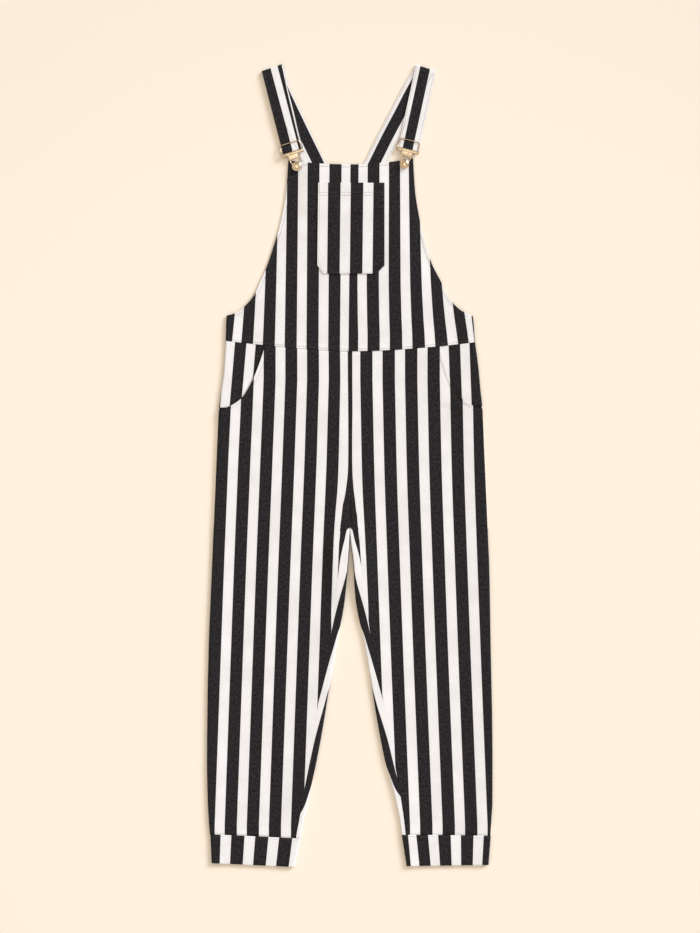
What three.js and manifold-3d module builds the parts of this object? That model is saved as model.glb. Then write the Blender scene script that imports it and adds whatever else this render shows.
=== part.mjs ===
// Bib-front dungarees in broad striped cloth, laid flat on a surface with the front up.
// Millimetres. X runs across the garment, Y from the ankles to the straps, Z up from the surface.
// "Left" and "right" are as the front is looked at. Every cloth piece is a thin wall round a
// grid of middle points, and neighbouring pieces stop a seam's width apart.
import * as THREE from 'three';
import { mergeVertices } from 'three/addons/utils/BufferGeometryUtils.js';
import Module from 'manifold-3d';

const wasm = await Module();
wasm.setup();

// Driving dimensions
const CLOTH = 1.2;
const SEAM = 0.3;
const HALF_SEAM = SEAM / 2;
const SIDE_SEAM = 0.3;
const FOLD_HEIGHT = 5.0;
const LAID_MIDDLE = 2.6;
const CENTRE_X = 1.5;
const TAB_TOP = 287.4;
const CROTCH_Y = -118;
const STRAP = { width: 40, thick: 2.0 };
const BACK_BIB_TOP = 530;
const CUFF_CLOTH = 1.6;
const CUFF_HEIGHT = 5.4;
const CUFF_SAG = 1.0;
const BUTTON = { radius: 9, post: 3.2, height: 6.4 };
const STEP_OVER = CLOTH + 0.5;
const POCKET_STEP = CLOTH + 0.45;
const FACING_HIDDEN = 20;
const EDGE_EASE = 60;
const STEP_DOWN = { start: 6, end: 36 };
const EDGE_DROP = 1.5;
const STRAP_ENDS = { x: -9, y: 525, rise: 1.6 };
const CROTCH_TURN = 3.4;
const CROTCH_FLAT = 10;

// Worked out from the driving dimensions
const FOLD_REACH = FOLD_HEIGHT / 2;
const FOLD_RADIUS = (FOLD_HEIGHT - CLOTH) / 2;
const FOLD_MIDDLE = FOLD_HEIGHT - CLOTH / 2;
const FLOOR_MIDDLE = CLOTH / 2;
const ARC_POINTS = 4;

// Each leg's outline: its side fold, its inner fold, and the inseam that shows on the front
const LEFT_LEG = {
  inward: 1,
  waistSide: 239,
  hemTilt: -8.1,
  rows: [
    { y: 239, side: -236.5, inner: 1.5, inseam: 1.5 },
    { y: 183, side: -241.0, inner: 1.5, inseam: 1.5 },
    { y: 145, side: -246.5, inner: 1.5, inseam: 1.5 },
    { y: 106.6, side: -251.2, inner: 1.5, inseam: 1.5 },
    { y: 30, side: -254.8, inner: 1.5, inseam: 1.5 },
    { y: -47, side: -258.1, inner: 1.5, inseam: 1.5 },
    { y: -118, side: -261.1, inner: 1.35, inseam: 1.2 },
    { y: -120, side: -261.2, inner: 1.35, inseam: -1.7 },
    { y: -122, side: -261.3, inner: 1.35, inseam: -4.0 },
    { y: -125, side: -261.4, inner: 1.35, inseam: -6.6 },
    { y: -143, side: -262.3, inner: 1.2, inseam: -9.6 },
    { y: -153, side: -262.6, inner: 0.4, inseam: -12.6 },
    { y: -181, side: -263.8, inner: -2.7, inseam: -17.6 },
    { y: -258, side: -267.1, inner: -9.6, inseam: -27.6 },
    { y: -335, side: -270.3, inner: -23.4, inseam: -37.9 },
    { y: -412, side: -272.3, inner: -37.2, inseam: -52.4 },
    { y: -489, side: -273.4, inner: -49.4, inseam: -66.2 },
    { y: -565, side: -274.0, inner: -63.2, inseam: -78.4 },
    { y: -642, side: -272.6, inner: -81.0, inseam: -91.2 },
    { y: -681, side: -270.5, inner: -90.0, inseam: -98.6 },
    { y: -716, side: -267.8, inner: -95.0, inseam: -104.8 },
  ],
  mouth: [
    { y: 239, x: -160.6 },
    { y: 230.6, x: -162.6 },
    { y: 199, x: -172.4 },
    { y: 167, x: -185.1 },
    { y: 145, x: -196.6 },
    { y: 130.6, x: -206.2 },
    { y: 115.2, x: -227.3 },
    { y: 110, x: -239.5 },
    { y: 106.6, x: -251.2 },
  ],
  cuff: {
    topSide: [-267.6, -707.8], topInner: [-94.7, -715.9],
    endSide: [-265.0, -762.8], endInner: [-106.0, -770.3],
  },
};
const RIGHT_LEG = {
  inward: -1,
  waistSide: 236.4,
  hemTilt: 1.9,
  rows: [
    { y: 239, side: 240.2, inner: 1.5, inseam: 1.5 },
    { y: 183, side: 247.5, inner: 1.5, inseam: 1.5 },
    { y: 145, side: 250.8, inner: 1.5, inseam: 1.5 },
    { y: 109.4, side: 254.6, inner: 1.5, inseam: 1.5 },
    { y: 30, side: 258.0, inner: 1.5, inseam: 1.5 },
    { y: -47, side: 261.4, inner: 1.5, inseam: 1.5 },
    { y: -118, side: 264.5, inner: 1.65, inseam: 1.8 },
    { y: -120, side: 264.6, inner: 1.65, inseam: 4.7 },
    { y: -122, side: 264.7, inner: 1.65, inseam: 7.0 },
    { y: -125, side: 264.8, inner: 1.65, inseam: 9.6 },
    { y: -143, side: 265.6, inner: 1.8, inseam: 12.4 },
    { y: -153, side: 266.0, inner: 2.8, inseam: 15.4 },
    { y: -181, side: 267.3, inner: 5.6, inseam: 20.2 },
    { y: -258, side: 269.0, inner: 11.4, inseam: 30.2 },
    { y: -335, side: 270.2, inner: 26.8, inseam: 41.2 },
    { y: -412, side: 271.8, inner: 40.2, inseam: 57.0 },
    { y: -489, side: 273.3, inner: 52.6, inseam: 71.2 },
    { y: -565, side: 273.9, inner: 67.4, inseam: 84.8 },
    { y: -642, side: 273.8, inner: 87.2, inseam: 98.2 },
    { y: -681, side: 271.6, inner: 95.2, inseam: 103.8 },
    { y: -716, side: 269.6, inner: 99.8, inseam: 107.8 },
  ],
  mouth: [
    { y: 239, x: 171.4 },
    { y: 229.2, x: 173.6 },
    { y: 196, x: 182.4 },
    { y: 162, x: 193.6 },
    { y: 143, x: 204.0 },
    { y: 128, x: 215.0 },
    { y: 116.6, x: 231.5 },
    { y: 112.4, x: 243.0 },
    { y: 109.4, x: 254.6 },
  ],
  cuff: {
    topSide: [270.4, -710.5], topInner: [99.8, -708.6],
    endSide: [266.3, -766.3], endInner: [109.2, -768.6],
  },
};

// The bib's free edges above the side tabs, and the hidden back bib's
const BIB_ARMHOLE = [
  { y: 585, left: -117.8, right: 121.4 },
  { y: 528, left: -122, right: 125.0 },
  { y: 472, left: -132, right: 134.0 },
  { y: 444, left: -140, right: 140.6 },
  { y: 390, left: -157.6, right: 157.4 },
  { y: 354, left: -173, right: 176.0 },
  { y: 330.6, left: -183.4, right: 185.6 },
  { y: 308, left: -201.4, right: 200.6 },
  { y: 300, left: -210, right: 208 },
  { y: 293.6, left: -219.6, right: 220.2 },
  { y: 290, left: -229, right: 229 },
  { y: 287.4, left: -236.5, right: 236.2 },
];
const BACK_ARMHOLE = [
  { y: 530, left: -74, right: 60 },
  { y: 480, left: -76, right: 66 },
  { y: 430, left: -82, right: 78 },
  { y: 370, left: -105, right: 108 },
  { y: 330, left: -140, right: 142 },
  { y: 303, left: -182, right: 183 },
  { y: 293.6, left: -206, right: 206 },
  { y: 287.4, left: -236.5, right: 236.2 },
];
const BIB_TOP = { side: 585, dip: 7.2, rightRise: 4.4 };
const BACK_TOP = { dip: 0, rightRise: 0 };
const WAIST_DIP = 18.2;
const POCKET = [
  { y: 542.2, left: -60.6, right: 66.4 },
  { y: 383.8, left: -62.4, right: 66.4 },
  { y: 368.2, left: -50.4, right: 51.6 },
];

// Strap routes seen from above: the back portion's middle line up to the fold, then the front
// portion's end under the buckle's bar. The tilt is that of the fold line.
const STRAP_LEFT = {
  tilt: 18.9,
  back: [[-36.7, 512], [-69.1, 581.8], [-103.5, 652.5], [-137.7, 725.8], [-148.8, 763.9]],
  frontEnd: [-109.4, 598.4],
};
const STRAP_RIGHT = {
  tilt: -18.4,
  back: [[15.2, 512], [50.5, 582.7], [72.2, 626.5], [100.4, 680.1], [120.8, 719.4], [146.2, 763.1]],
  frontEnd: [111.4, 603.2],
};

// Buckles: the bar's middle, and the turn that brings the buckle in line with its button
const BUCKLE_LEFT = { bar: [-109.9, 598.9], turn: 17.5 };
const BUCKLE_RIGHT = { bar: [111.0, 603.7], turn: -14.0 };
const BUCKLE = { plate: 2.0, bevel: 0.5, height: 5.75, reach: 26.5, clear: 0.8 };

// Curves through the tables
function fade(value, start, end) {
  return 1 - THREE.MathUtils.smoothstep(value, start, end);
}

function smoothTable(rows, column, y) {
  const last = rows.length - 1;
  if (y >= rows[0].y) {
    return rows[0][column];
  }
  if (y <= rows[last].y) {
    return rows[last][column];
  }
  let i = 0;
  while (rows[i + 1].y > y) {
    i += 1;
  }
  const slope = (a, b) => (rows[b][column] - rows[a][column]) / (rows[b].y - rows[a].y);
  const middle = slope(i, i + 1);
  const shared = (a, b) => (a * b <= 0 ? 0 : (2 * a * b) / (a + b));
  const before = i > 0 ? shared(slope(i - 1, i), middle) : middle;
  const after = i + 1 < last ? shared(middle, slope(i + 1, i + 2)) : middle;
  const run = rows[i + 1].y - rows[i].y;
  const t = (y - rows[i].y) / run;
  const ease = t * t * (3 - 2 * t);
  const rise = rows[i + 1][column] - rows[i][column];
  const bow = run * (before * t * (1 - t) * (1 - t) - after * t * t * (1 - t));
  return rows[i][column] + rise * ease + bow;
}

function waistAt(x) {
  const side = x < CENTRE_X ? LEFT_LEG.waistSide : RIGHT_LEG.waistSide;
  const across = Math.min(1, Math.abs(x - CENTRE_X) / 238);
  const middle = LEFT_LEG.waistSide - WAIST_DIP;
  return middle + (side - middle) * Math.pow(across, 1.4);
}

// Heights of the upper layer's middle above the surface
function ripple(x, y) {
  return 0.22 * Math.sin(y / 61 + x / 43) + 0.12 * Math.sin(y / 33 - x / 27);
}

function legTop(leg, x, y) {
  const fromSide = Math.abs(x - smoothTable(leg.rows, 'side', y));
  const fromInner = Math.abs(smoothTable(leg.rows, 'inner', y) - x);
  const fork = fade(y, CROTCH_Y, -30);
  const eased = (distance) => fade(distance, FOLD_REACH, EDGE_EASE);
  const rise = Math.max(eased(fromSide), fork * eased(fromInner));
  const valley = 0.4 * (1 - fork) * Math.exp(-((x - CENTRE_X) ** 2) / 70);
  return LAID_MIDDLE + (FOLD_MIDDLE - LAID_MIDDLE) * rise - valley + ripple(x, y) * (1 - rise);
}

function mouthLift(leg, x, y) {
  const pocketEnd = leg.mouth[leg.mouth.length - 1].y;
  const past = (x - smoothTable(leg.mouth, 'x', y)) * leg.inward;
  return STEP_OVER * fade(past, 26, 75) * (1 - fade(y, pocketEnd - 34, pocketEnd));
}

function bibTop(x, y) {
  const leg = x < CENTRE_X ? LEFT_LEG : RIGHT_LEG;
  const edge = smoothTable(BIB_ARMHOLE, x < CENTRE_X ? 'left' : 'right', y);
  const fromEdge = Math.abs(x - edge);
  const aboveWaist = y - waistAt(x);
  const laid = LAID_MIDDLE + 0.5 * (1 - fade(aboveWaist, 10, 70));
  const tab = (FOLD_MIDDLE - laid) * fade(y, TAB_TOP, TAB_TOP + 48);
  const drop = EDGE_DROP * (1 - fade(y, TAB_TOP + 20, TAB_TOP + 93));
  const fromSewing = Math.abs(y - STRAP_ENDS.y);
  const overSewing = fade(Math.abs(x - STRAP_ENDS.x), 66, 92) * fade(fromSewing, 32, 58);
  const overStraps = STRAP_ENDS.rise * overSewing;
  const past = (x - smoothTable(leg.mouth, 'x', waistAt(x))) * leg.inward;
  const nearMouth = fade(past, 26, 75) * (1 - fade(past, -26, 0));
  const overMouth = STEP_OVER * nearMouth * fade(aboveWaist, 2, 50);
  const rise = fade(fromEdge, FOLD_REACH, EDGE_EASE) * tab - fade(fromEdge, 0, 42) * drop;
  const calm = Math.max(fade(fromEdge, 0, 30), fade(aboveWaist, 0, 30));
  return laid + rise + overStraps + overMouth + ripple(x, y) * (1 - calm);
}

// Grids of points and the walls made round them
function spread(start, end, count) {
  return Array.from({ length: count }, (_, i) => start + ((end - start) * i) / (count - 1));
}

function gridNormals(grid, ring) {
  const across = (row, j, step) => {
    const count = row.length;
    return ring ? row[(j + step + count) % count] : row[Math.min(count - 1, Math.max(0, j + step))];
  };
  return grid.map((row, i) =>
    row.map((_, j) => {
      const up = grid[Math.max(0, i - 1)][j];
      const down = grid[Math.min(grid.length - 1, i + 1)][j];
      const along = down.clone().sub(up);
      const side = across(row, j, 1).clone().sub(across(row, j, -1));
      return side.cross(along).normalize();
    }));
}

function wall(grid, thick, ring = false) {
  const normals = gridNormals(grid, ring);
  const rows = grid.length;
  const columns = grid[0].length;
  const positions = [];
  for (const side of [0.5, -0.5]) {
    grid.forEach((row, i) => row.forEach((p, j) => {
      const q = p.clone().addScaledVector(normals[i][j], side * thick);
      positions.push(q.x, q.y, q.z);
    }));
  }
  const outer = (i, j) => i * columns + (j % columns);
  const inner = (i, j) => rows * columns + outer(i, j);
  const index = [];
  const quad = (a, b, c, d) => index.push(a, b, c, a, c, d);
  const spans = ring ? columns : columns - 1;
  for (let i = 0; i < rows - 1; i += 1) {
    for (let j = 0; j < spans; j += 1) {
      quad(outer(i, j), outer(i, j + 1), outer(i + 1, j + 1), outer(i + 1, j));
      quad(inner(i, j), inner(i + 1, j), inner(i + 1, j + 1), inner(i, j + 1));
    }
  }
  for (let j = 0; j < spans; j += 1) {
    quad(outer(0, j + 1), outer(0, j), inner(0, j), inner(0, j + 1));
    quad(outer(rows - 1, j), outer(rows - 1, j + 1), inner(rows - 1, j + 1), inner(rows - 1, j));
  }
  if (!ring) {
    for (let i = 0; i < rows - 1; i += 1) {
      quad(outer(i, 0), outer(i + 1, 0), inner(i + 1, 0), inner(i, 0));
      const edge = columns - 1;
      quad(outer(i + 1, edge), outer(i, edge), inner(i, edge), inner(i + 1, edge));
    }
  }
  return facingOut(positions, index);
}

function facingOut(positions, index) {
  let volume = 0;
  const corner = (k) => new THREE.Vector3().fromArray(positions, 3 * k);
  for (let k = 0; k < index.length; k += 3) {
    volume += corner(index[k]).dot(corner(index[k + 1]).cross(corner(index[k + 2])));
  }
  const turned = volume < 0 ? index.map((_, k) => index[k - (k % 3) + [0, 2, 1][k % 3]]) : index;
  const geometry = new THREE.BufferGeometry();
  geometry.setAttribute('position', new THREE.Float32BufferAttribute(positions, 3));
  geometry.setIndex(turned);
  return geometry;
}

// Points of a quarter fold: from the seam at mid-height up to the top layer or down to the floor
function foldArc(edgeX, inward, endHeight, up) {
  const start = up ? SIDE_SEAM : -SIDE_SEAM;
  const reach = endHeight - FOLD_REACH;
  const first = Math.asin(start / Math.abs(reach));
  const last = up ? Math.PI / 2 : -Math.PI / 2;
  return spread(first, last, ARC_POINTS).map((angle) => ({
    x: edgeX + inward * (FOLD_REACH - FOLD_RADIUS * Math.cos(angle)),
    z: FOLD_REACH + Math.abs(reach) * Math.sin(angle),
  }));
}

// Leg panels
function legRowY(leg, y, x) {
  const side = smoothTable(leg.rows, 'side', y);
  const across = Math.abs(x - side) / 175;
  const hem = leg.hemTilt * across * fade(y, -700, -560);
  const waist = (waistAt(x) - leg.waistSide) * (1 - fade(y, 120, 232));
  return y + hem + waist;
}

const CROTCH_ROWS = [-118, -119, -120, -121, -122, -125, -132, -143, -153];
const LOWER_ROWS = [-181, -219, -258, -315, -380, -450, -519, -585, -642, -680];

function frontLeg(leg) {
  const pocketEnd = leg.mouth[leg.mouth.length - 1].y;
  const top = leg.waistSide - HALF_SEAM;
  const hip = [top, 218, 194, 170, 150, 134, 122];
  const lowerMouth = [8.6, 5, 3, 1.5, 0].map((rise) => pocketEnd + rise);
  const hem = leg.cuff.topSide[1] + SEAM;
  const rows = [...hip, ...lowerMouth, 94, 60, 10, -40, -80, -104, ...CROTCH_ROWS, ...LOWER_ROWS, hem];
  const grid = rows.map((y) => {
    const side = smoothTable(leg.rows, 'side', y);
    const mouthX = smoothTable(leg.mouth, 'x', legRowY(leg, y, smoothTable(leg.mouth, 'x', y)));
    const start = y <= pocketEnd ? 0 : Math.max(0, (mouthX - side) * leg.inward);
    const end = smoothTable(leg.rows, 'inseam', y) - leg.inward * HALF_SEAM;
    const height = (x) => legTop(leg, x, y) + mouthLift(leg, x, y);
    const foldX = side + leg.inward * FOLD_REACH;
    const points = [];
    if (start < FOLD_REACH) {
      const arc = foldArc(side, leg.inward, height(foldX), true);
      const climb = start / FOLD_REACH;
      for (let k = 0; k < ARC_POINTS; k += 1) {
        const place = (climb + (1 - climb) * (k / (ARC_POINTS - 1))) * (ARC_POINTS - 1);
        const low = Math.min(ARC_POINTS - 2, Math.floor(place));
        const part = place - low;
        points.push({
          x: THREE.MathUtils.lerp(arc[low].x, arc[low + 1].x, part),
          z: THREE.MathUtils.lerp(arc[low].z, arc[low + 1].z, part),
        });
      }
    } else {
      for (let k = 0; k < ARC_POINTS; k += 1) {
        const x = side + leg.inward * (start + k);
        points.push({ x, z: height(x) });
      }
    }
    const from = points[ARC_POINTS - 1].x;
    spread(from, end, 10).slice(1).forEach((x) => points.push({ x, z: height(x) }));
    return points.map((p) => new THREE.Vector3(p.x, legRowY(leg, y, p.x), p.z));
  });
  return wall(grid, CLOTH);
}

function backLeg(leg) {
  const hem = leg.cuff.topSide[1] + SEAM;
  const top = leg.waistSide - HALF_SEAM;
  const rows = [top, 194, 145, 90, 30, -30, -80, -104, ...CROTCH_ROWS, ...LOWER_ROWS, hem];
  const grid = rows.map((y) => {
    const side = smoothTable(leg.rows, 'side', y);
    const inner = smoothTable(leg.rows, 'inner', y);
    const inseam = smoothTable(leg.rows, 'inseam', y) + leg.inward * HALF_SEAM;
    const points = foldArc(side, leg.inward, FLOOR_MIDDLE, false);
    const turn = y > CROTCH_Y ? 0 : 1 - fade(-y, -CROTCH_Y, -CROTCH_Y + CROTCH_TURN);
    const innerX = inner - leg.inward * HALF_SEAM * (y > CROTCH_Y ? 1 : 0);
    const flatEnd = innerX - leg.inward * (turn * FOLD_REACH + (1 - turn) * CROTCH_FLAT);
    const flat = spread(points[ARC_POINTS - 1].x, flatEnd, 5).slice(1);
    flat.forEach((x) => points.push({ x, z: FLOOR_MIDDLE }));
    const foldTop = legTop(leg, inner - leg.inward * FOLD_REACH, y);
    const arcSteps = 5;
    for (let k = 1; k <= arcSteps; k += 1) {
      const part = k / arcSteps;
      const angle = -Math.PI / 2 + Math.PI * turn * part;
      const rise = Math.sin(angle) > 0 ? foldTop - FOLD_REACH : FOLD_RADIUS;
      const before = (1 - turn) * CROTCH_FLAT * (1 - part) * leg.inward;
      const round = turn * (FOLD_REACH - FOLD_RADIUS * Math.cos(angle));
      const z = turn > 0 ? FOLD_REACH + rise * Math.sin(angle) : FLOOR_MIDDLE;
      points.push({ x: innerX - before - leg.inward * round, z });
    }
    const tip = points[points.length - 1];
    const wrap = Math.max(0, (tip.x - inseam) * leg.inward) * (turn > 0.98 ? 1 : 0);
    if (wrap > 0) {
      const strip = spread(tip.x, inseam, 3).slice(1);
      strip.forEach((x) => points.push({ x, z: legTop(leg, x, y) }));
    } else {
      const before = points[points.length - 2];
      points.pop();
      for (let k = 1; k <= 3; k += 1) {
        points.push({
          x: THREE.MathUtils.lerp(before.x, tip.x, k / 3),
          z: THREE.MathUtils.lerp(before.z, tip.z, k / 3),
        });
      }
    }
    return points.map((p) => new THREE.Vector3(p.x, legRowY(leg, y, p.x), p.z));
  });
  return wall(grid, CLOTH);
}

// The pocket's facing under the curved mouth, from the side seam to just under the front panel
function pocketFacing(leg) {
  const pocketEnd = leg.mouth[leg.mouth.length - 1].y;
  const top = leg.waistSide - HALF_SEAM;
  const rows = [top, 218, 194, 170, 150, 134, 122, pocketEnd + 4.5];
  const grid = rows.map((y) => {
    const side = smoothTable(leg.rows, 'side', y);
    const end = smoothTable(leg.mouth, 'x', y) + leg.inward * FACING_HIDDEN;
    const height = (x) => legTop(leg, x, y);
    const points = foldArc(side, leg.inward, height(side + leg.inward * FOLD_REACH), true);
    spread(points[ARC_POINTS - 1].x, end, 7).slice(1).forEach((x) => points.push({ x, z: height(x) }));
    return points.map((p) => new THREE.Vector3(p.x, legRowY(leg, y, p.x), p.z));
  });
  return wall(grid, CLOTH);
}

// Cuffs: a flattened band round each ankle
function cuff(leg) {
  const reach = CUFF_HEIGHT / 2;
  const radius = reach - CUFF_CLOTH / 2;
  const { topSide, topInner, endSide, endInner } = leg.cuff;
  const grid = [0, 0.33, 0.67, 1].map((down) => {
    const corner = (a, b, k) => THREE.MathUtils.lerp(a[k], b[k], down);
    const sideX = corner(topSide, endSide, 0);
    const innerX = corner(topInner, endInner, 0);
    const outline = [];
    const flat = (from, to, count, z) =>
      spread(from, to, count + 2).slice(1, -1).forEach((x) => outline.push({ x, z }));
    const turn = (x, first, last) =>
      spread(first, last, 6).forEach((angle) => outline.push({
        x: x + radius * Math.cos(angle) * leg.inward,
        z: reach + radius * Math.sin(angle),
      }));
    const nearSide = sideX + leg.inward * reach;
    const nearInner = innerX - leg.inward * reach;
    turn(nearInner, -Math.PI / 2, Math.PI / 2);
    const sag = (x) => CUFF_SAG * (1 - Math.max(
      fade(Math.abs(x - nearSide), 0, 36), fade(Math.abs(x - nearInner), 0, 36)));
    const upper = spread(nearInner, nearSide, 9).slice(1, -1);
    upper.forEach((x) => outline.push({ x, z: reach + radius - sag(x) }));
    turn(nearSide, Math.PI / 2, (3 * Math.PI) / 2);
    flat(nearSide, nearInner, 3, reach - radius);
    return outline.map(({ x, z }) => {
      const across = (x - sideX) / (innerX - sideX);
      const y = THREE.MathUtils.lerp(corner(topSide, endSide, 1), corner(topInner, endInner, 1), across);
      return new THREE.Vector3(x, y, z);
    });
  });
  return wall(grid, CUFF_CLOTH, true);
}

// Bibs
function bibRowY(y, x, top) {
  const up = THREE.MathUtils.clamp((y - 239) / (BIB_TOP.side - 239), 0, 1);
  const half = Math.abs(smoothTable(BIB_ARMHOLE, x < CENTRE_X ? 'left' : 'right', y) - CENTRE_X);
  const across = Math.min(1, Math.abs(x - CENTRE_X) / half);
  const low = waistAt(x) - 239;
  const rise = x < CENTRE_X ? 0 : top.rightRise;
  const high = rise * across * across - top.dip * (1 - across * across);
  return y + THREE.MathUtils.lerp(low, high, Math.pow(up, 0.7));
}

function bibFront() {
  const rows = [239 + HALF_SEAM, 256, 272, 287.3, 289.5, 293.6, 300, 308, 319, 331, 354, 378, 402,
    428, 450, 472, 496, 520, 542, 564, BIB_TOP.side];
  const grid = rows.map((y) => {
    const left = smoothTable(BIB_ARMHOLE, 'left', y);
    const right = smoothTable(BIB_ARMHOLE, 'right', y);
    const folded = y < TAB_TOP;
    const place = (x) => ({ x, z: bibTop(x, bibRowY(y, x, BIB_TOP)) });
    const leftEdge = folded
      ? foldArc(left, 1, place(left + FOLD_REACH).z, true)
      : spread(left, left + ARC_POINTS - 1, ARC_POINTS).map(place);
    const rightEdge = folded
      ? foldArc(right, -1, place(right - FOLD_REACH).z, true)
      : spread(right, right - ARC_POINTS + 1, ARC_POINTS).map(place);
    const from = leftEdge[ARC_POINTS - 1].x;
    const to = rightEdge[ARC_POINTS - 1].x;
    const between = spread(from, to, 15).slice(1, -1).map(place);
    const points = [...leftEdge, ...between, ...rightEdge.reverse()];
    return points.map((p) => new THREE.Vector3(p.x, bibRowY(y, p.x, BIB_TOP), p.z));
  });
  return wall(grid, CLOTH);
}

function bibBack() {
  const rows = [239 + HALF_SEAM, 264, 287.3, 290, 294, 303, 330, 370, 430, 470, BACK_BIB_TOP];
  const grid = rows.map((y) => {
    const left = smoothTable(BACK_ARMHOLE, 'left', y);
    const right = smoothTable(BACK_ARMHOLE, 'right', y);
    const folded = y < TAB_TOP;
    const flat = (x) => ({ x, z: FLOOR_MIDDLE });
    const leftEdge = folded
      ? foldArc(left, 1, FLOOR_MIDDLE, false)
      : spread(left, left + ARC_POINTS - 1, ARC_POINTS).map(flat);
    const rightEdge = folded
      ? foldArc(right, -1, FLOOR_MIDDLE, false)
      : spread(right, right - ARC_POINTS + 1, ARC_POINTS).map(flat);
    const from = leftEdge[ARC_POINTS - 1].x;
    const to = rightEdge[ARC_POINTS - 1].x;
    const points = [...leftEdge, ...spread(from, to, 8).slice(1, -1).map(flat), ...rightEdge.reverse()];
    return points.map((p) => new THREE.Vector3(p.x, bibRowY(y, p.x, BACK_TOP), p.z));
  });
  return wall(grid, CLOTH);
}

// The patch pocket is made from the bib's own points, moved out by a cloth and a small gap
function bibPocket() {
  const rows = [542.2, 520, 496, 472, 448, 424, 404, 383.8, 376, 368.2];
  const edge = (column, y) => {
    const low = y >= POCKET[1].y ? 0 : 1;
    const part = (POCKET[low].y - y) / (POCKET[low].y - POCKET[low + 1].y);
    return THREE.MathUtils.lerp(POCKET[low][column], POCKET[low + 1][column], part);
  };
  const grid = rows.map((y) =>
    spread(edge('left', y), edge('right', y), 9).map((x) =>
      new THREE.Vector3(x, y, bibTop(x, y) + POCKET_STEP)));
  return wall(grid, CLOTH);
}

// Straps: one strip each, sewn on the back bib, folded flat at the shoulder and brought down
function strap({ tilt, back, frontEnd }) {
  const turn = THREE.MathUtils.degToRad(tilt);
  const across = new THREE.Vector3(Math.cos(turn), Math.sin(turn), 0);
  const up = new THREE.Vector3(-Math.sin(turn), Math.cos(turn), 0);
  const low = STRAP.thick / 2;
  const high = low + STRAP.thick + SEAM;
  const onBib = CLOTH + SEAM + low;
  const foldRadius = (high - low) / 2;
  const reach = foldRadius + low;
  const route = new THREE.CatmullRomCurve3(back.map(([x, y]) => new THREE.Vector3(x, y, 0)));
  const middle = [];
  const fold = new THREE.Vector3(...back[back.length - 1], 0).addScaledVector(up, -reach);
  spread(0, 1, 15).forEach((t) => {
    const p = route.getPoint(t);
    if (p.clone().sub(fold).dot(up) < -2) {
      const offBib = 1 - fade(p.y, BACK_BIB_TOP + STEP_DOWN.start, BACK_BIB_TOP + STEP_DOWN.end);
      p.z = THREE.MathUtils.lerp(onBib, low, offBib);
      middle.push(p);
    }
  });
  spread(-Math.PI / 2, Math.PI / 2, 7).forEach((angle) => {
    const p = fold.clone().addScaledVector(up, foldRadius * Math.cos(angle));
    p.z = (low + high) / 2 + foldRadius * Math.sin(angle);
    middle.push(p);
  });
  const end = new THREE.Vector3(...frontEnd, high);
  const start = middle[middle.length - 1];
  spread(0, 1, 6).slice(1).forEach((t) => middle.push(start.clone().lerp(end, t)));
  const half = STRAP.width / 2;
  const grid = middle.map((p) => [-half, 0, half].map((w) => p.clone().addScaledVector(across, w)));
  return wall(grid, STRAP.thick);
}

// Metal: a slide-and-hook buckle cut from one plate, bent down to the button, and its button
function roundedOutline(path, points, radius) {
  points.forEach((p, i) => {
    const before = points[(i + points.length - 1) % points.length];
    const after = points[(i + 1) % points.length];
    const here = new THREE.Vector2(...p);
    const toward = (q) => {
      const step = new THREE.Vector2(...q).sub(here);
      return here.clone().addScaledVector(step.clone().normalize(), Math.min(radius, step.length() / 2.2));
    };
    const a = toward(before);
    const b = toward(after);
    if (i === 0) {
      path.moveTo(a.x, a.y);
    } else {
      path.lineTo(a.x, a.y);
    }
    path.quadraticCurveTo(here.x, here.y, b.x, b.y);
  });
  path.closePath();
  return path;
}

function solid(geometry) {
  geometry.deleteAttribute('normal');
  geometry.deleteAttribute('uv');
  const merged = mergeVertices(geometry, 1e-4);
  const vertProperties = new Float32Array(merged.attributes.position.array);
  const triVerts = new Uint32Array(merged.index.array);
  return new wasm.Manifold(new wasm.Mesh({ numProp: 3, vertProperties, triVerts }));
}

function geometryOf(manifold) {
  const mesh = manifold.getMesh();
  const geometry = new THREE.BufferGeometry();
  geometry.setAttribute('position', new THREE.Float32BufferAttribute(mesh.vertProperties, 3));
  geometry.setIndex(Array.from(mesh.triVerts));
  return geometry;
}

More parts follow.
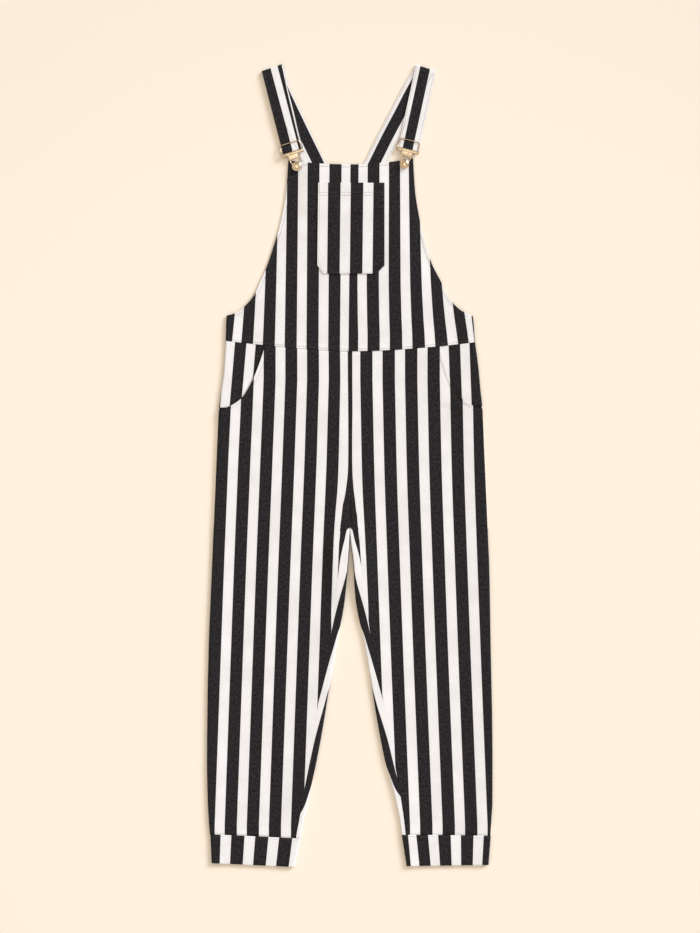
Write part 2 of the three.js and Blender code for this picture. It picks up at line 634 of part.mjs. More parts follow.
function buckle({ bar, turn }) {
  const barHalf = 3.6;
  const outline = [
    [-21.7, -barHalf], [-21.7, barHalf], [-19.4, 21.4], [19.4, 21.4], [21.7, barHalf], [21.7, -barHalf],
    [9.8, -barHalf], [9.8, -14.5], [6.8, -21], [6.8, -33.2], [-6.8, -33.2], [-6.8, -21],
    [-9.8, -14.5], [-9.8, -barHalf],
  ];
  const slot = [[-19.2, barHalf], [19.2, barHalf], [17.3, 19.4], [-17.3, 19.4]];
  const keyhole = [[-7.4, -14.2], [7.4, -14.2], [4.7, -21.4], [4.7, -31.2], [-4.7, -31.2], [-4.7, -21.4]];
  const depth = BUCKLE.plate - 2 * BUCKLE.bevel;
  const plate = new THREE.ExtrudeGeometry(roundedOutline(new THREE.Shape(), outline, 2.6), {
    depth, curveSegments: 3, bevelEnabled: true, bevelThickness: BUCKLE.bevel,
    bevelSize: BUCKLE.bevel, bevelOffset: -BUCKLE.bevel, bevelSegments: 1,
  });
  const opening = (points, radius) => {
    const shape = roundedOutline(new THREE.Shape(), points, radius);
    const settings = { depth: 3 * depth, curveSegments: 3, bevelEnabled: false };
    const prism = new THREE.ExtrudeGeometry(shape, settings);
    return solid(prism.translate(0, 0, -depth));
  };
  const cut = solid(plate).subtract(opening(slot, 1.6)).subtract(opening(keyhole, 3.4));
  const geometry = geometryOf(cut);
  geometry.translate(0, 0, -depth / 2);
  const place = new THREE.Matrix4().makeRotationZ(THREE.MathUtils.degToRad(turn)).setPosition(...bar, 0);
  const button = new THREE.Vector3(0, -BUCKLE.reach, 0).applyMatrix4(place);
  const loopHeight = bibTop(button.x, button.y) + CLOTH / 2 + BUCKLE.clear + BUCKLE.plate / 2;
  const position = geometry.attributes.position;
  for (let k = 0; k < position.count; k += 1) {
    const bend = fade(-position.getY(k), 4, 17);
    position.setZ(k, position.getZ(k) + THREE.MathUtils.lerp(loopHeight, BUCKLE.height, bend));
  }
  geometry.applyMatrix4(place);
  return geometry;
}

function button({ bar, turn }) {
  const { radius, post, height } = BUTTON;
  const profile = [
    [0, 0], [post, 0], [post, 2.9], [radius - 1.2, 3.0], [radius, 3.6], [radius, 4.2],
    [radius - 1.1, 5.2], [radius - 3.4, 6.0], [0, height],
  ].map(([r, z]) => new THREE.Vector2(r, z));
  const geometry = new THREE.LatheGeometry(profile, 22);
  geometry.rotateX(Math.PI / 2);
  const angle = THREE.MathUtils.degToRad(turn);
  const x = bar[0] + BUCKLE.reach * Math.sin(angle);
  const y = bar[1] - BUCKLE.reach * Math.cos(angle);
  geometry.translate(x, y, bibTop(x, y) + CLOTH / 2 + SEAM);
  return geometry;
}

// Materials and the assembled garment
const cloth = (color) => new THREE.MeshStandardMaterial({ color, roughness: 0.9, metalness: 0 });
const striped = cloth(0x6e6c6d);
const dark = cloth(0x2a282a);
const pale = cloth(0xf0ede9);
const gold = new THREE.MeshStandardMaterial({ color: 0xd9bd94, roughness: 0.3, metalness: 1 });

const garment = new THREE.Group();
function add(name, geometry, material) {
  const mesh = new THREE.Mesh(geometry, material.clone());
  mesh.name = name;
  garment.add(mesh);
}

add('bib_front', bibFront(), striped);
add('bib_back', bibBack(), striped);
add('bib_pocket', bibPocket(), dark);
for (const [side, leg] of [['left', LEFT_LEG], ['right', RIGHT_LEG]]) {
  add(`leg_front_${side}`, frontLeg(leg), striped);
  add(`leg_back_${side}`, backLeg(leg), dark);
  add(`pocket_facing_${side}`, pocketFacing(leg), pale);
  add(`cuff_${side}`, cuff(leg), dark);
}
add('strap_left', strap(STRAP_LEFT), dark);
add('strap_right', strap(STRAP_RIGHT), dark);
add('buckle_left', buckle(BUCKLE_LEFT), gold);
add('buckle_right', buckle(BUCKLE_RIGHT), gold);
add('button_left', button(BUCKLE_LEFT), gold);
add('button_right', button(BUCKLE_RIGHT), gold);

export default garment;
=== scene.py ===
# %% [markdown]
# # Striped bib dungarees, laid flat
#
# The garment lies front up on a pale surface. The frame gives one plain solid for every cut piece,
# and this script dresses each of them as real cloth: two faces, turned hems, sewn edges, stripes
# that follow the cut, and soft creases. The metal buckles and buttons are modelled as by hand.
# We work in millimetres, because that is how a pattern cutter measures, and turn them to metres
# only when a mesh is made.

# %% Load the frame
import math

import bmesh
import bpy
import numpy as np
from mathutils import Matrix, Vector
from mathutils.bvhtree import BVHTree


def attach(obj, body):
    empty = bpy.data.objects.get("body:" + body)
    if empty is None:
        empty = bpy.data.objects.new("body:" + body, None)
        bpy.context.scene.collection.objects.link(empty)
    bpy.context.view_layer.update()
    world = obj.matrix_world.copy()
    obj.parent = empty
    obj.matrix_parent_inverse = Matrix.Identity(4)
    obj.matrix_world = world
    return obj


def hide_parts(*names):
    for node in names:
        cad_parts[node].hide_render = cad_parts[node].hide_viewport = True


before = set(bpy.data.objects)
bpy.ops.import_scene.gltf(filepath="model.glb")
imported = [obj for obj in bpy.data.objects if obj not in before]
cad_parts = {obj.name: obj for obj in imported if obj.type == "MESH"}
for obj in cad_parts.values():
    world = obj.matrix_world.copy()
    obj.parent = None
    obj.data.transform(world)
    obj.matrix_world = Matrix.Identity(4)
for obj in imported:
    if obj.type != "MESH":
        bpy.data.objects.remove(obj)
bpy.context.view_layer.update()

MM = 0.001
SIDES = ("left", "right")


def add_object(name, data):
    made = bpy.data.objects.new(name, data)
    bpy.context.collection.objects.link(made)
    return made


def select_only(piece):
    bpy.ops.object.select_all(action="DESELECT")
    piece.select_set(True)
    bpy.context.view_layer.objects.active = piece


# %% [markdown]
# ## Camera
#
# The photograph looks straight down on the garment. A long lens from high above keeps the outline
# free of perspective, as an orthographic camera would, but it still shows thickness at the hems.
# The picture is 700 by 933, and one pixel of it is 1.92 mm on the surface, so the camera's height
# follows from the width of the picture and the lens.

# %% Camera
PICTURE = (700, 933)
MM_PER_PIXEL = 1.92
PICTURE_CENTRE = (0.4, -1.9)
LENS = 100
SENSOR = 36
FARTHEST_SEEN = 30

camera_data = bpy.data.cameras.new("overhead_camera")
camera_data.lens = LENS
camera_data.sensor_width = SENSOR
camera_data.sensor_fit = "AUTO"
camera_data.clip_end = FARTHEST_SEEN
camera = add_object("overhead_camera", camera_data)
camera_height = PICTURE[1] * MM_PER_PIXEL * LENS / SENSOR
camera.location = [v * MM for v in (*PICTURE_CENTRE, camera_height)]
bpy.context.scene.camera = camera
print("camera height", round(camera.location.z, 3), "m")

# %% [markdown]
# ## Measures of the garment
#
# These are the same driving measures as the frame's own source. A leg panel is known by a few rows:
# at each height, where its side fold, its inner fold and its inseam are. Everything between the
# rows is a smooth curve, so the cut stays fair and can be read and changed. A height that ends in
# `MIDDLE` is that of the middle of a cloth's thickness.

# %% Measures
CLOTH = 1.2
SEAM = 0.3
SIDE_SEAM = 0.1
FOLD_HEIGHT = 5.0
FOLD_REACH = FOLD_HEIGHT / 2
FOLD_RADIUS = (FOLD_HEIGHT - CLOTH) / 2
FOLD_MIDDLE = FOLD_HEIGHT - CLOTH / 2
FLOOR_MIDDLE = CLOTH / 2
LAID_MIDDLE = 2.6
CENTRE_X = 1.5
WAIST_ROW = 239
WAIST_SIDE = {"left": 239, "right": 236.4}
WAIST_DIP = 19.7
WAIST_BOW = {"left": 1.45, "right": 1.76}
HALF_WAIST = 238
ANKLE_WIDTH = 175
TAB_TOP = 287.4
CROTCH_Y = -118
STEP_OVER = CLOTH + 0.5
POCKET_STEP = CLOTH + 0.45
FACING_HIDDEN = 20
EDGE_EASE = 60
EDGE_DROP = 1.5
CUFF_HEIGHT = 5.4
CUFF_CLOTH = 1.6
CUFF_SAG = 1.0
BACK_BIB_TOP = 530
BIB_SIDE_TOP = 585


# %% [markdown]
# ## Smooth curves through a few rows
#
# A cubic through each pair of rows, with slopes that never overshoot, keeps a hip curve or an
# armhole fair. `fade` and `hill` make most of the relief below. A fade is one before its start,
# nothing after its end, and eases between the two. A hill is one at its middle, and nothing once it
# is a few widths away.

# %% Curves
def fade(value, start, end):
    t = np.clip((np.asarray(value, float) - start) / (end - start), 0, 1)
    return 1 - t * t * (3 - 2 * t)


def hill(distance, width):
    return np.exp(-(distance / width) ** 2)


def curve_through(rows):
    """A smooth function of y through (y, value) rows that are listed from the top down."""
    ys, values = (np.array(column, float)[::-1] for column in zip(*rows))
    slopes = np.diff(values) / np.diff(ys)
    before, after = slopes[:-1], slopes[1:]
    both = np.where(before + after == 0, 1, before + after)
    shared = np.where(before * after <= 0, 0, 2 * before * after / both)
    tangents = np.concatenate(([slopes[0]], shared, [slopes[-1]]))

    def at(y):
        y = np.clip(np.asarray(y, float), ys[0], ys[-1])
        i = np.clip(np.searchsorted(ys, y, side="right") - 1, 0, len(ys) - 2)
        run = ys[i + 1] - ys[i]
        t = (y - ys[i]) / run
        ease = (values[i + 1] - values[i]) * t * t * (3 - 2 * t)
        bow = tangents[i] * t * (1 - t) ** 2 - tangents[i + 1] * t * t * (1 - t)
        return values[i] + ease + run * bow

    return at


def curves_through(rows):
    """One curve for each number that follows the height in the rows."""
    return [curve_through([(row[0], row[k]) for row in rows]) for k in range(1, len(rows[0]))]


# %% [markdown]
# ## The legs' outline
#
# Each row reads: height, side fold, inner fold, inseam. The inseam isn't on the fold: the back
# panel wraps round to the front, which is why the photograph shows a strip of leaning stripes
# along the inside of each leg. The mouth is the curved edge of the hip pocket.

# %% Outline of the legs
LEG_ROWS = {
    "left": [
        (239, -238.2, 1.5, 1.5), (183, -241.6, 1.5, 1.5), (145, -246.5, 1.5, 1.5),
        (106.6, -251.2, 1.5, 1.5), (30, -254.8, 1.4, 1.4), (-47, -258.1, 1.0, 1.0),
        (-118, -261.1, -0.1, -0.3), (-120, -261.2, -0.1, -3.0), (-122, -261.3, -0.1, -4.6),
        (-125, -261.4, -0.1, -6.2), (-143, -262.3, -0.4, -10.0), (-153, -262.6, -0.8, -12.6),
        (-181, -263.8, -2.7, -18.4), (-258, -267.1, -9.6, -27.6), (-335, -270.3, -23.4, -37.9),
        (-412, -272.3, -37.2, -52.4), (-489, -273.4, -49.4, -66.2), (-565, -274.0, -63.2, -78.4),
        (-642, -272.6, -81.0, -91.2), (-681, -270.5, -90.0, -98.6), (-716, -267.8, -95.0, -104.8),
    ],
    "right": [
        (239, 240.2, 1.5, 1.5), (183, 247.5, 1.5, 1.5), (145, 250.8, 1.5, 1.5),
        (109.4, 254.6, 1.5, 1.5), (30, 258.0, 1.4, 1.4), (-47, 261.4, 1.0, 1.0),
        (-118, 264.5, 0.1, 0.3), (-120, 264.6, 0.1, 2.6), (-122, 264.7, 0.1, 3.9),
        (-125, 264.8, 0.1, 5.2), (-143, 265.6, 0.9, 9.2), (-153, 266.0, 2.0, 12.2),
        (-181, 267.3, 5.6, 19.6), (-258, 269.0, 11.4, 30.2), (-335, 270.2, 26.8, 41.2),
        (-412, 271.8, 40.2, 57.0), (-489, 273.3, 52.6, 71.2), (-565, 273.9, 67.4, 84.8),
        (-642, 273.8, 87.2, 98.2), (-681, 271.6, 95.2, 103.8), (-716, 269.6, 99.8, 107.8),
    ],
}
POCKET_MOUTH = {
    "left": [(239, -160.6), (230.6, -162.6), (199, -172.4), (167, -185.1), (145, -196.6),
             (130.6, -206.2), (115.2, -227.3), (110, -239.5), (106.6, -251.2)],
    "right": [(239, 171.4), (229.2, 173.6), (196, 182.4), (162, 193.6), (143, 204.0),
              (128, 215.0), (116.6, 231.5), (112.4, 243.0), (109.4, 254.6)],
}
CUFF_CORNERS = {
    # at the leg and at the hem: the outer corner, then the inner one
    "left": {"top": ((-267.6, -707.8), (-94.7, -715.9)),
             "end": ((-265.0, -762.8), (-106.0, -770.3))},
    "right": {"top": ((270.4, -710.5), (99.8, -708.6)),
              "end": ((266.3, -766.3), (109.2, -768.6))},
}
HEM_TILT = {"left": -8.1, "right": 1.9}
INWARD = {"left": 1, "right": -1}


class Leg:
    """One leg's curves, by height."""

    def __init__(self, side):
        self.inward = INWARD[side]
        self.waist_side = WAIST_SIDE[side]
        self.hem_tilt = HEM_TILT[side]
        self.side, self.inner, self.inseam = curves_through(LEG_ROWS[side])
        self.mouth = curve_through(POCKET_MOUTH[side])
        self.pocket_end = POCKET_MOUTH[side][-1][0]
        self.hem = CUFF_CORNERS[side]["top"][0][1] + SEAM


legs = {side: Leg(side) for side in SIDES}
print("inseam at the knee", round(float(legs["left"].inseam(-400)), 1), "mm")

# %% [markdown]
# ## The bib's outline
#
# The armhole edges run from the narrow bib down to the side tabs. Each row reads: height, left
# edge, right edge. The hidden back bib ends below the front one, so from above it never shows, but
# it carries the straps.

# %% Outline of the bib
ARMHOLE = [
    (585, -117.8, 121.4), (528, -122, 125.0), (472, -132, 134.0), (444, -140, 140.6),
    (390, -157.6, 157.4), (354, -173, 176.0), (330.6, -183.4, 186.6), (308, -201.4, 204.4),
    (300, -210, 213.5), (293.6, -219.6, 225), (290, -229, 232), (287.4, -236.4, 236.2),
    (239, -238.2, 240.0),
]
BACK_ARMHOLE = [
    (530, -74, 60), (480, -76, 66), (430, -82, 78), (370, -105, 108), (330, -140, 142),
    (303, -182, 183), (293.6, -206, 206), (287.4, -236.4, 236.2), (239, -238.2, 240.0),
]
BIB_TOP = {"dip": 7.2, "right_rise": 4.4}
BACK_TOP = {"dip": 0, "right_rise": 0}
STRAP_SEWING = {"x": -9, "y": 525, "rise": 1.6}
BIB_EASE = 0.7

armhole = dict(zip(SIDES, curves_through(ARMHOLE)))
back_armhole = dict(zip(SIDES, curves_through(BACK_ARMHOLE)))


def by_side(x, pair):
    """The left one of a pair on the left of the centre seam, and the right one beyond it."""
    return np.where(x < CENTRE_X, pair["left"], pair["right"])


def armhole_at(x, y):
    return by_side(x, {side: armhole[side](y) for side in SIDES})


def waist_at(x):
    across = np.minimum(1, np.abs(x - CENTRE_X) / HALF_WAIST)
    middle = WAIST_SIDE["left"] - WAIST_DIP
    return middle + (by_side(x, WAIST_SIDE) - middle) * across ** by_side(x, WAIST_BOW)


def bib_row_y(y, x, top):
    """The true height of a point on a bib row: the waist sags and the top edge dips."""
    x = np.asarray(x, float)
    up = np.clip((y - WAIST_ROW) / (BIB_SIDE_TOP - WAIST_ROW), 0, 1)
    across = np.minimum(1, np.abs(x - CENTRE_X) / np.abs(armhole_at(x, y) - CENTRE_X))
    low = waist_at(x) - WAIST_ROW
    rise = by_side(x, {"left": 0, "right": top["right_rise"]})
    high = rise * across ** 2 - top["dip"] * (1 - across ** 2)
    return y + low + (high - low) * up ** BIB_EASE


def leg_row_y(leg, y, x):
    """The true height of a point on a leg row: the waist sags and the hem tilts."""
    across = np.abs(x - leg.side(y)) / ANKLE_WIDTH
    hem = leg.hem_tilt * across * fade(y, -700, -560)
    return y + hem + (waist_at(x) - leg.waist_side) * (1 - fade(y, 120, 232))


# %% [markdown]
# ## Soft relief
#
# Real cloth on a table isn't a plane. The big shape is the frame's: high at the folds, low between
# them. On top come slow ripples, and creases placed where this garment has them: they fan
# out from the crotch, cross behind the knees and gather above the cuffs. Each crease is a line with
# a width and a height, and no two are alike. Where four seams meet at the crotch, the cloth dips at
# the seam, and it stands up beside the gap between the legs because it is bulky there. A simulation
# could make all this too, but it would move the seams, and the stripes of the photograph are too
# strict for that.

# %% Relief
CREASES = [
    # x0, y0, x1, y1, width, height
    (-4, -104, -62, -196, 9, 0.55), (-10, -128, -84, -262, 12, 0.45),
    (-8, -92, -98, -128, 10, 0.35), (8, -106, 58, -184, 10, 0.50),
    (12, -130, 92, -276, 13, 0.40), (8, -90, 86, -118, 9, 0.35),
    (-250, -318, -120, -352, 11, 0.55), (-262, -392, -150, -380, 8, 0.40),
    (-110, -426, -228, -446, 12, 0.35), (256, -302, 136, -338, 12, 0.50),
    (262, -372, 170, -384, 9, 0.40), (108, -414, 214, -430, 11, 0.40),
    (-238, -640, -160, -655, 7, 0.45), (-140, -676, -205, -683, 6, 0.40),
    (-256, -604, -190, -596, 9, 0.35), (242, -632, 158, -648, 7, 0.45),
    (132, -668, 196, -676, 6, 0.40), (262, -592, 200, -588, 9, 0.35),
    (-245, 60, -150, 18, 12, 0.35), (248, 48, 160, 10, 12, 0.35), (-60, 150, 40, 128, 14, 0.25),
    (-120, 300, -40, 330, 15, 0.30), (120, 292, 40, 326, 15, 0.30),
    (-90, 470, -70, 380, 12, 0.30), (92, 460, 76, 372, 12, 0.30),
]
SEAM_VALLEY = {"depth": 0.4, "width": math.sqrt(70)}
CROTCH_DIP = {"depth": 2.3, "width": 2.0, "y": -92, "reach": 20}
CROTCH_LIFT = {"height": 4.8, "near": 30, "far": 53, "y": -192, "reach": 62}
FLAT_EDGE = (2, 14)
MOUTH_REACH = (26, 75)
POCKET_END_EASE = 34
BIB_RISE = 0.5
TAB_EASE = 48
BIB_EDGE_REACH = 42


def ripple(x, y):
    slow = 0.22 * np.sin(y / 61 + x / 43) + 0.12 * np.sin(y / 33 - x / 27)
    fine = 0.05 * np.sin(y / 11.7 + x / 19.3) + 0.04 * np.sin(y / 17.1 - x / 8.9 + 1.3)
    return slow + fine


def creases(x, y):
    """Heights of all the creases at once; a crease fades to nothing at both of its ends."""
    total = np.zeros(np.broadcast(x, y).shape)
    for x0, y0, x1, y1, width, height in CREASES:
        run = math.hypot(x1 - x0, y1 - y0)
        along = ((x - x0) * (x1 - x0) + (y - y0) * (y1 - y0)) / run
        off = ((x - x0) * (y1 - y0) - (y - y0) * (x1 - x0)) / run
        off = off + 0.05 * width * np.sin(along / 17)
        ends = (1 - fade(along, 0, 0.35 * run)) * fade(along, 0.6 * run, run)
        ridge = hill(off, width) - 0.45 * hill(off - 1.7 * width, width)
        total = total + height * ends * ridge
    return total


def leg_top(leg, x, y):
    """The middle height of the upper layer of a leg."""
    from_side = np.abs(x - leg.side(y))
    from_inner = np.abs(leg.inner(y) - x)
    fork = fade(y, CROTCH_Y, -30)
    eased_side = fade(from_side, FOLD_REACH, EDGE_EASE)
    eased_inner = fade(from_inner, FOLD_REACH, EDGE_EASE)
    rise = np.maximum(eased_side, fork * eased_inner)
    valley = SEAM_VALLEY["depth"] * (1 - fork) * hill(x - CENTRE_X, SEAM_VALLEY["width"])
    dip = CROTCH_DIP["depth"] * hill(x - leg.inner(y), CROTCH_DIP["width"])
    dip = dip * hill(y - CROTCH_DIP["y"], CROTCH_DIP["reach"])
    lift = CROTCH_LIFT["height"] * fade(np.abs(x), CROTCH_LIFT["near"], CROTCH_LIFT["far"])
    lift = lift * hill(y - CROTCH_LIFT["y"], CROTCH_LIFT["reach"])
    soft = 1 - np.maximum(fade(from_side, *FLAT_EDGE), fork * fade(from_inner, *FLAT_EDGE))
    free = ripple(x, y) * (1 - rise) + creases(x, y) * soft
    return LAID_MIDDLE + (FOLD_MIDDLE - LAID_MIDDLE) * rise - valley - dip + lift + free


def mouth_lift(leg, x, y):
    """The front panel climbs over the pocket's facing at the mouth."""
    past = (x - leg.mouth(y)) * leg.inward
    above_end = 1 - fade(y, leg.pocket_end - POCKET_END_EASE, leg.pocket_end)
    return STEP_OVER * fade(past, *MOUTH_REACH) * above_end


def bib_top(x, y):
    """The middle height of the front bib."""
    x = np.asarray(x, float)
    from_edge = np.abs(x - armhole_at(x, y))
    waist = waist_at(x)
    above_waist = y - waist
    laid = LAID_MIDDLE + BIB_RISE * (1 - fade(above_waist, 10, 70))
    tab = (FOLD_MIDDLE - laid) * fade(y, TAB_TOP, TAB_TOP + TAB_EASE)
    drop = EDGE_DROP * (1 - fade(y, TAB_TOP + 20, TAB_TOP + 93))
    off_sewing = np.abs(y - STRAP_SEWING["y"])
    over_straps = fade(np.abs(x - STRAP_SEWING["x"]), 66, 92) * fade(off_sewing, 32, 58)
    mouth = by_side(x, {side: legs[side].mouth(waist) for side in SIDES})
    past = (x - mouth) * by_side(x, INWARD)
    over_mouth = STEP_OVER * fade(past, *MOUTH_REACH) * (1 - fade(past, -MOUTH_REACH[0], 0))
    over_mouth = over_mouth * fade(above_waist, 2, 50)
    rise = fade(from_edge, FOLD_REACH, EDGE_EASE) * tab - fade(from_edge, 0, BIB_EDGE_REACH) * drop
    calm = np.maximum(fade(from_edge, 0, 30), fade(above_waist, 0, 30))
    free = (ripple(x, y) + creases(x, y)) * (1 - calm)
    return laid + rise + STRAP_SEWING["rise"] * over_straps + over_mouth + free


# %% [markdown]
# ## Where the stripes run
#
# The stripes are woven, so they follow the grain of each cut piece and break at every seam. Each
# piece gets a map of its own, made together with its mesh: the first number counts stripes across
# the cloth, with a black stripe's middle at every whole number, and the second runs along them.
# One material then serves all pieces, because every difference between them is in the map.

# %% Stripe maps
PERIOD = 42.4
BLACK_SHARE = 0.555
LEG_STRIPES = {
    # line: where the middle of one black stripe runs, as (height, x)
    # period: the width of one black and one white stripe; reach: how far the crotch's pull goes
    "left": {"line": [(164, -112.2), (-8.6, -118.3), (-181.4, -125.2), (-373, -132.2),
                      (-690, -143.6)],
             "period": [(239, 41.4), (106, 41.9), (-8.6, 42.4), (-716, 42.4)], "reach": 8.0},
    "right": {"line": [(164, 117.8), (-8.6, 121.4), (-181.4, 127.2), (-373, 134.2), (-690, 146.8)],
              "period": [(239, 43.1), (-716, 43.1)], "reach": 5.8},
}
CROTCH_PULL = {
    # height, place of the stripe's edge beside the centre seam, and how far it was pulled outwards
    "left": [(164, -2.1, 6.0), (106.6, -1.7, 3.6), (49, -1.9, 1.8), (-8.6, -3.1, 0.8),
             (-47, -7.3, 3.5), (-75.8, -13.2, 8.4), (-104.6, -17.3, 11.1), (-133.4, -19.6, 12.5),
             (-181.4, -21.7, 12.7), (-258, -24.0, 12.7), (-330, -30.0, 0.0)],
    "right": [(164, 5.4, 4.4), (106.6, 5.6, 3.6), (49, 4.8, 1.9), (-8.6, 5.6, 1.0),
              (-47, 7.9, 2.5), (-75.8, 12.1, 5.6), (-104.6, 15.6, 7.9), (-133.4, 18.2, 9.8),
              (-181.4, 21.7, 11.5), (-258, 27.0, 11.5), (-330, 33.0, 0.0)],
}


def leg_stripes(side):
    facts = LEG_STRIPES[side]
    line, period = curve_through(facts["line"]), curve_through(facts["period"])
    edge, pull = curves_through(CROTCH_PULL[side])
    inward = INWARD[side]

    def at(x, y):
        beyond = (edge(y) - x) * inward
        shift = pull(y) * np.exp(-np.maximum(0, beyond) / facts["reach"]) * inward
        return (x + shift - line(y)) / period(y), y / PERIOD

    return at


TAB_EDGE = 236.3
FAN_WIDTH = 201.6
FAN_POWER = 3.2
NARROW_REACH = 10
BIB_STRIPES = {
    # middle: x of the middle stripe; row: the height at which the widths below were measured
    # narrowed: what the middle stripe lacks; lean, spread, fan: slopes in the middle, per share
    # of the width and towards the armholes; bow: shifts by height; tab: stripes added by the side
    # tab's turn, and how far in that reaches
    "middle": 6.3, "row": 250.6,
    "left": {"period": 41.8, "narrowed": 6.2, "lean": -0.012, "spread": 0.024, "fan": -0.092,
             "bow": [(590, 0.7), (204, 0.3)], "tab": (0.09, 30)},
    "right": {"period": 43.0, "narrowed": 4.2, "lean": -0.012, "spread": 0.008, "fan": 0.125,
              "bow": [(590, 2.5), (356, 2.1), (318, 1.4), (279, 0.5), (250, -0.5), (204, -0.7)],
              "tab": (0.24, 8)},
}


def bib_stripes(x, y):
    """The bib's stripes fan out to its armholes, crowd at its side folds, and the middle is narrow."""
    off = np.abs(x - CENTRE_X) / FAN_WIDTH
    middle = BIB_STRIPES["middle"]
    u = np.zeros(np.broadcast(x, y).shape)
    for side, chosen in (("left", x < middle), ("right", x >= middle)):
        facts = BIB_STRIPES[side]
        slope = facts["lean"] + facts["spread"] * off + facts["fan"] * off ** FAN_POWER
        at_row = x + curve_through(facts["bow"])(y) + slope * (y - BIB_STRIPES["row"])
        distance = np.abs(at_row - middle)
        more, reach = facts["tab"]
        turned = more * np.exp(-(TAB_EDGE - np.abs(x)) / reach)
        narrowed = facts["narrowed"] * (1 - np.exp(-distance / NARROW_REACH))
        count = (distance + narrowed) / facts["period"] + turned
        u = np.where(chosen, np.copysign(count, at_row - middle), u)
    return u, y / PERIOD


def leaning_stripes(middle, period, lean, row=0.0):
    """Straight stripes: a black one's middle is at `middle` on `row`, and it leans by `lean`."""
    def at(x, y):
        return (x - middle - lean * (row - y)) / period, y / PERIOD
    return at


stripes_of = {
    "bib": bib_stripes,
    "patch": leaning_stripes(13.6, 43.5, -0.011, 509.8),
    "leg_left": leg_stripes("left"),
    "leg_right": leg_stripes("right"),
    "facing_left": leaning_stripes(-210.4, 40.0, -0.085, 221.8),
    "facing_right": leaning_stripes(200.9, 40.0, 0.036, 221.8),
}
print("stripe at the left hip", round(float(stripes_of["leg_left"](-112.2, 164)[0]), 2))

# %% [markdown]
# ## From a grid to a sewn panel
#
# Every panel is a grid of middle points. `panel` puts one face half a cloth above it and one half
# below, closes the rim, and writes the stripe map on both. The frame's own solids are made the same
# way, but with a few dozen rows; here there are hundreds, so hems and creases have room. A bevel on
# the rim takes the hard line off a cut edge.

# %% Panels from grids
RIM_BEVEL = 0.32
RIM_ANGLE = 60
SMOOTH_ANGLE = 50


def grid_normals(grid, ring):
    up = np.concatenate((grid[:1], grid[:-1]))
    down = np.concatenate((grid[1:], grid[-1:]))
    if ring:
        before, after = np.roll(grid, 1, axis=1), np.roll(grid, -1, axis=1)
    else:
        before = np.concatenate((grid[:, :1], grid[:, :-1]), axis=1)
        after = np.concatenate((grid[:, 1:], grid[:, -1:]), axis=1)
    normals = np.cross(after - before, down - up)
    return normals / np.maximum(np.linalg.norm(normals, axis=2, keepdims=True), 1e-9)


def panel(name, grid, thick, upper_map, under_map=None, ring=False, bevel=RIM_BEVEL):
    """A closed wall of cloth round a grid of middle points (rows, columns, xyz)."""
    under_map = upper_map if under_map is None else under_map
    rows, columns = grid.shape[:2]
    normals = grid_normals(grid, ring)
    layers = [grid + 0.5 * thick * normals, grid - 0.5 * thick * normals]
    points = np.concatenate([layer.reshape(-1, 3) for layer in layers]) * MM
    maps = np.concatenate([np.stack(m, axis=-1).reshape(-1, 2) for m in (upper_map, under_map)])
    upper = np.arange(rows * columns).reshape(rows, columns)
    if ring:
        upper = np.concatenate((upper, upper[:, :1]), axis=1)
    under = upper + rows * columns
    faces = []

    def strip(a, b):
        quads = np.stack((a[:-1], b[:-1], b[1:], a[1:]), axis=-1).reshape(-1, 4)
        faces.extend(quads.tolist())

    for i in range(rows - 1):
        strip(upper[i], upper[i + 1])
        strip(under[i + 1], under[i])
    strip(under[0], upper[0])
    strip(upper[-1], under[-1])
    if not ring:
        strip(upper[:, 0], under[:, 0])
        strip(under[:, -1], upper[:, -1])
    mesh = bpy.data.meshes.new(name)
    mesh.from_pydata(points.tolist(), [], faces)
    stripe_map = mesh.uv_layers.new(name="stripe_map")
    corner_points = np.zeros(len(mesh.loops), dtype=np.int32)
    mesh.loops.foreach_get("vertex_index", corner_points)
    stripe_map.data.foreach_set("uv", maps[corner_points].astype(np.float32).ravel())
    shape = bmesh.new()
    shape.from_mesh(mesh)
    if shape.calc_volume(signed=True) < 0:
        bmesh.ops.reverse_faces(shape, faces=shape.faces[:])
    shape.to_mesh(mesh)
    shape.free()
    piece = add_object(name, mesh)
    select_only(piece)
    rim = piece.modifiers.new("rim", "BEVEL")
    rim.width = bevel * MM
    rim.segments = 2
    rim.limit_method = "ANGLE"
    rim.angle_limit = math.radians(RIM_ANGLE)
    bpy.ops.object.modifier_apply(modifier="rim")
    bpy.ops.object.shade_smooth_by_angle(angle=math.radians(SMOOTH_ANGLE))
    area = sum(face.area for face in piece.data.polygons) / 2
    print(f"{name}: {len(piece.data.polygons)} faces, cloth {area:.4f} m2")
    return piece


def panel_from_rows(name, rows, stripes, thick=CLOTH, ring=False):
    """A panel from its rows of (x, y, z), with stripes that are counted at every point."""
    grid = np.moveaxis(np.array(rows), 1, 2)
    return panel(name, grid, thick, stripes(grid[..., 0], grid[..., 1]), ring=ring)


# %% [markdown]
# ## Folds at the side seams
#
# The front and back panels meet at mid-height on the side of the garment, so each of them turns a
# quarter round there. `fold_arc` gives that turn: from the seam up to the top layer, or from the
# seam down to the surface.

# %% Fold at a side seam
ARC_POINTS = 7
EDGE_STEP = 0.9


def fold_arc(edge_x, inward, end_height, up):
    reach = abs(end_height - FOLD_REACH)
    first = math.asin(min(1, SIDE_SEAM / reach)) * (1 if up else -1)
    angles = np.linspace(first, math.pi / 2 if up else -math.pi / 2, ARC_POINTS)
    x = edge_x + inward * (FOLD_REACH - FOLD_RADIUS * np.cos(angles))
    return x, FOLD_REACH + reach * np.sin(angles)


